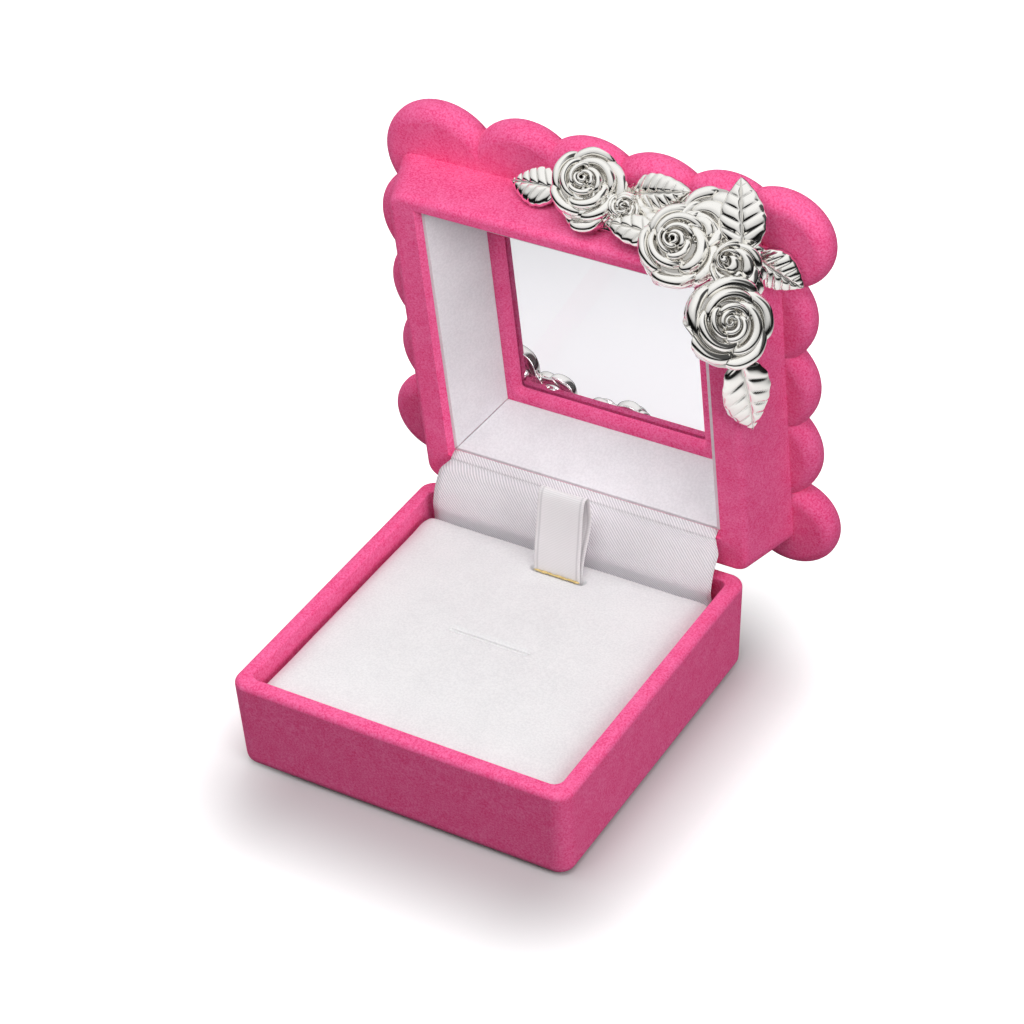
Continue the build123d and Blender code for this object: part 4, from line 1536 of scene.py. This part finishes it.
@dataclass(frozen=True)
class Studio:
    """Pale floor, soft light and the camera.

    Attributes:
        picture: Width of the photograph in pixels.
        focal: Focal length in those pixels.
        yaw: Camera's turn from the Y axis in degrees.
        pitch: Camera's fall below level in degrees.
        roll: Camera's roll in degrees.
        eye: Camera's place in metres.
        lamps: Name, place in metres, side in metres and power in watts of each lamp.
        aim: Place that the lamps point at.
        fill: Strength of the room's light on matt surfaces.
        floor_tone: Colour of the floor for the camera, on which the real and painted shadow show.
        floor_dim: Share by which the floor throws less light back on matt surfaces.
        pane_share: Share of the floor's glow that is seen through the window.
        shadow: Middle and half size along x, then along y, of the patch beside the box where the floor's glow
            is left out, a painted shadow over the real one.
        shadow_fade: Distances from that patch between which the painted shadow fades into the glow.
        disc: Radius and thickness of the floor in metres.
        mirror_edge: Radii between which the floor fades to dark for mirror rays.
        wall: Colour of the room's walls.
        ceiling: Colour of the room's ceiling.
        rise: Heights, as shares of a direction, between which the wall turns into the ceiling.
        band_height: Heights between which the dark band fades upwards.
        band_front: Depths between which it fades towards the rear, and what is left of it there.
        gap_side: Places across between which a dark gap on the right sets in.
        gap_rear: Depths between which it sets in.
        gap_share: Darkness of that gap.
    """

    picture: float = 1024.0
    focal: float = 3127.16
    yaw: float = 31.758
    pitch: float = 36.764
    roll: float = -2.924
    eye: Vec3 = (0.23924, -0.37746, 0.37971)
    lamps: tuple[tuple[str, Vec3, float, float], ...] = (
        ("key", (0.04, -0.10, 0.27), 0.16, 0.40),
        ("left", (-0.30, -0.13, 0.15), 0.20, 0.30),
        ("side", (0.45, -0.14, 0.22), 0.30, 1.25),
        ("back", (-0.24, 0.42, 0.30), 0.30, 0.80),
    )
    aim: Vec3 = (0.0, 0.0, 0.03)
    fill: float = 0.33
    floor_tone: Colour = (0.52, 0.50, 0.51)
    floor_dim: float = 0.9
    pane_share: float = 0.35
    shadow: tuple[Vec2, Vec2] = ((0.004, 0.023), (-0.004, 0.030))
    shadow_fade: Vec2 = (0.001, 0.042)
    disc: Vec2 = (4.0, 0.002)
    mirror_edge: Vec2 = (0.10, 0.26)
    wall: Colour = (0.68, 0.68, 0.68)
    ceiling: Colour = (0.98, 0.98, 0.98)
    rise: Vec2 = (0.25, 0.95)
    band_height: Vec2 = (0.06, 0.30)
    band_front: Vec3 = (-0.5, 0.2, 0.1)
    gap_side: Vec2 = (0.5, 0.66)
    gap_rear: Vec2 = (-0.25, 0.0)
    gap_share: float = 0.9

    def camera(self) -> None:
        """Set the camera at the photograph's place, turned by yaw, pitch and roll."""
        yaw, pitch, roll = (radians(angle) for angle in (self.yaw, self.pitch, self.roll))
        forward = np.array([-sin(yaw) * cos(pitch), cos(yaw) * cos(pitch), -sin(pitch)])
        level = np.array([cos(yaw), sin(yaw), 0.0])
        upright = np.cross(level, forward)
        data = bpy.data.cameras.new("camera")
        data.sensor_width = 36.0
        data.lens = self.focal / self.picture * data.sensor_width
        data.clip_start, data.clip_end = 0.01, 20.0
        camera = put("camera", data)
        right, up = cos(roll) * level + sin(roll) * upright, -sin(roll) * level + cos(roll) * upright
        stand(camera, right, up, -forward, self.eye)
        bpy.context.scene.camera = camera

    def lamp(self, name: str, place: Vec3, size: float, power: float) -> None:
        """Add one soft square lamp that points at the box; mirror rays see the room instead.

        Args:
            name: Lamp name.
            place: Its place in metres.
            size: Its side in metres.
            power: Its power in watts.
        """
        data = bpy.data.lights.new(name, "AREA")
        data.shape, data.size, data.energy = "SQUARE", size, power
        lamp = put(name, data)
        lamp.visible_glossy = False
        away = unit(np.array(place) - self.aim)
        side = unit(np.cross((0.0, 1.0, 0.0), away))
        stand(lamp, side, np.cross(away, side), away, place)

    def world(self) -> None:
        """White room for the camera and for mirror and glass rays, with a dark band low at the front."""
        world = bpy.data.worlds.new("studio")
        bpy.context.scene.world = world
        g = graph_of(world)
        x, y, z = g.split(g.add("ShaderNodeTexCoord").outputs["Generated"])
        near, far, left = self.band_front
        band = g.times(g.spread(z, *self.band_height, 1.0, 0.0), g.spread(y, near, far, 1.0, left))
        gap = g.times(g.spread(x, *self.gap_side), g.spread(y, *self.gap_rear))
        dark = g.math("MAXIMUM", band, g.times(gap, self.gap_share))
        room = g.blend(dark, g.blend(g.spread(z, *self.rise), self.wall, self.ceiling), (0.0, 0.0, 0.0))
        path = g.add("ShaderNodeLightPath").outputs
        seen = g.math("MAXIMUM", path["Is Camera Ray"], path["Is Transmission Ray"])
        clear = g.math("MAXIMUM", seen, path["Is Glossy Ray"])
        strength = g.math("MULTIPLY_ADD", clear, 1.0 - self.fill, self.fill)
        colour = g.blend(seen, room, (1.0, 1.0, 1.0))
        g.fill(g.tree.nodes["Background"], {"Color": colour, "Strength": strength})

    def floor(self) -> None:
        """Wide pale disc under the box, glowing to white for the camera except round a patch beside the box,
        where the missing glow leaves a painted shadow over the real one.
        """
        reach, thickness = self.disc
        angle, radius = full_turn(64), (reach * np.linspace(0.01, 1.0, 30) ** 2)[:, None]
        disc = stack(radius * np.cos(angle), radius * np.sin(angle), 0.0)
        mesh = Skin.rings(np.concatenate([disc, disc[::-1] - (0.0, 0.0, thickness)])).mesh("floor")
        floor = put("floor", mesh)
        material = bpy.data.materials.new("pale_floor")
        g = graph_of(material)
        path = g.add("ShaderNodeLightPath").outputs
        camera = path["Is Camera Ray"]
        part = g.split(g.add("ShaderNodeTexCoord").outputs["Object"])
        edge = g.times(g.spread(g.length(part[0], part[1]), *self.mirror_edge), path["Is Glossy Ray"])
        dim = g.math("MAXIMUM", edge, g.times(path["Is Diffuse Ray"], self.floor_dim))
        pale = g.blend(camera, (0.9, 0.9, 0.9), self.floor_tone)
        beside = []
        for place, (middle, half) in zip(part, self.shadow):
            away = g.math("ABSOLUTE", g.math("SUBTRACT", place, middle))
            beside.append(g.math("MAXIMUM", g.math("SUBTRACT", away, half), 0.0))
        # The glow is left out round a patch beside the box, a painted shadow in which the real shadow also
        # shows.
        glow_round_painted_shadow = g.spread(g.length(*beside), *self.shadow_fade)
        seen = g.plus(camera, g.times(path["Is Transmission Ray"], self.pane_share))
        g.fill(g.tree.nodes["Principled BSDF"], {
            "Base Color": g.blend(dim, pale, (0.02, 0.02, 0.02)), "Roughness": 0.9, "Specular IOR Level": 0.0,
            "Emission Color": (1.0, 1.0, 1.0), "Emission Strength": g.times(seen, glow_round_painted_shadow),
        })
        mesh.materials.append(material)

    def build(self) -> None:
        """Set up the floor, the room, the lamps and the camera."""
        self.floor()
        self.world()
        for lamp in self.lamps:
            self.lamp(*lamp)
        self.camera()
        bpy.context.scene.view_settings.view_transform = "Standard"


# The box


CARRIED_OVER = {
    "flocked_plastic": ("base_shell", "lid_frame", "scallop_plate", "window_bezel"),
    "pane_glass": ("window_pane",),
    "lining_card": ("liner_left", "liner_right", "liner_front", "liner_rear"),
    "board": ("pad_board",),
    "steel": (
        "hinge_base_leaf", "hinge_pin", "hinge_base_rivets", "hinge_lid_leaf", "hinge_lid_rivets",
        "spray_push_nuts",
    ),
}


def main() -> None:
    """Build the studio and the box, piece by piece."""
    logging.basicConfig(level=logging.INFO, format="%(name)s: %(message)s")
    Studio().build()
    log.info("studio ready")
    palette = Palette()
    for slot, nodes in CARRIED_OVER.items():
        for node in nodes:
            palette.dress(node, slot)
            log.info("dressed %s", node)
    for maker in (Pad, SlitLips, Ribbon, SatinStrip, FrontSpray, RearSpray):
        for piece in maker(palette).build():
            log.info("built %s, %d faces", piece.name, len(piece.data.polygons))


if __name__ == "__main__":
    main()
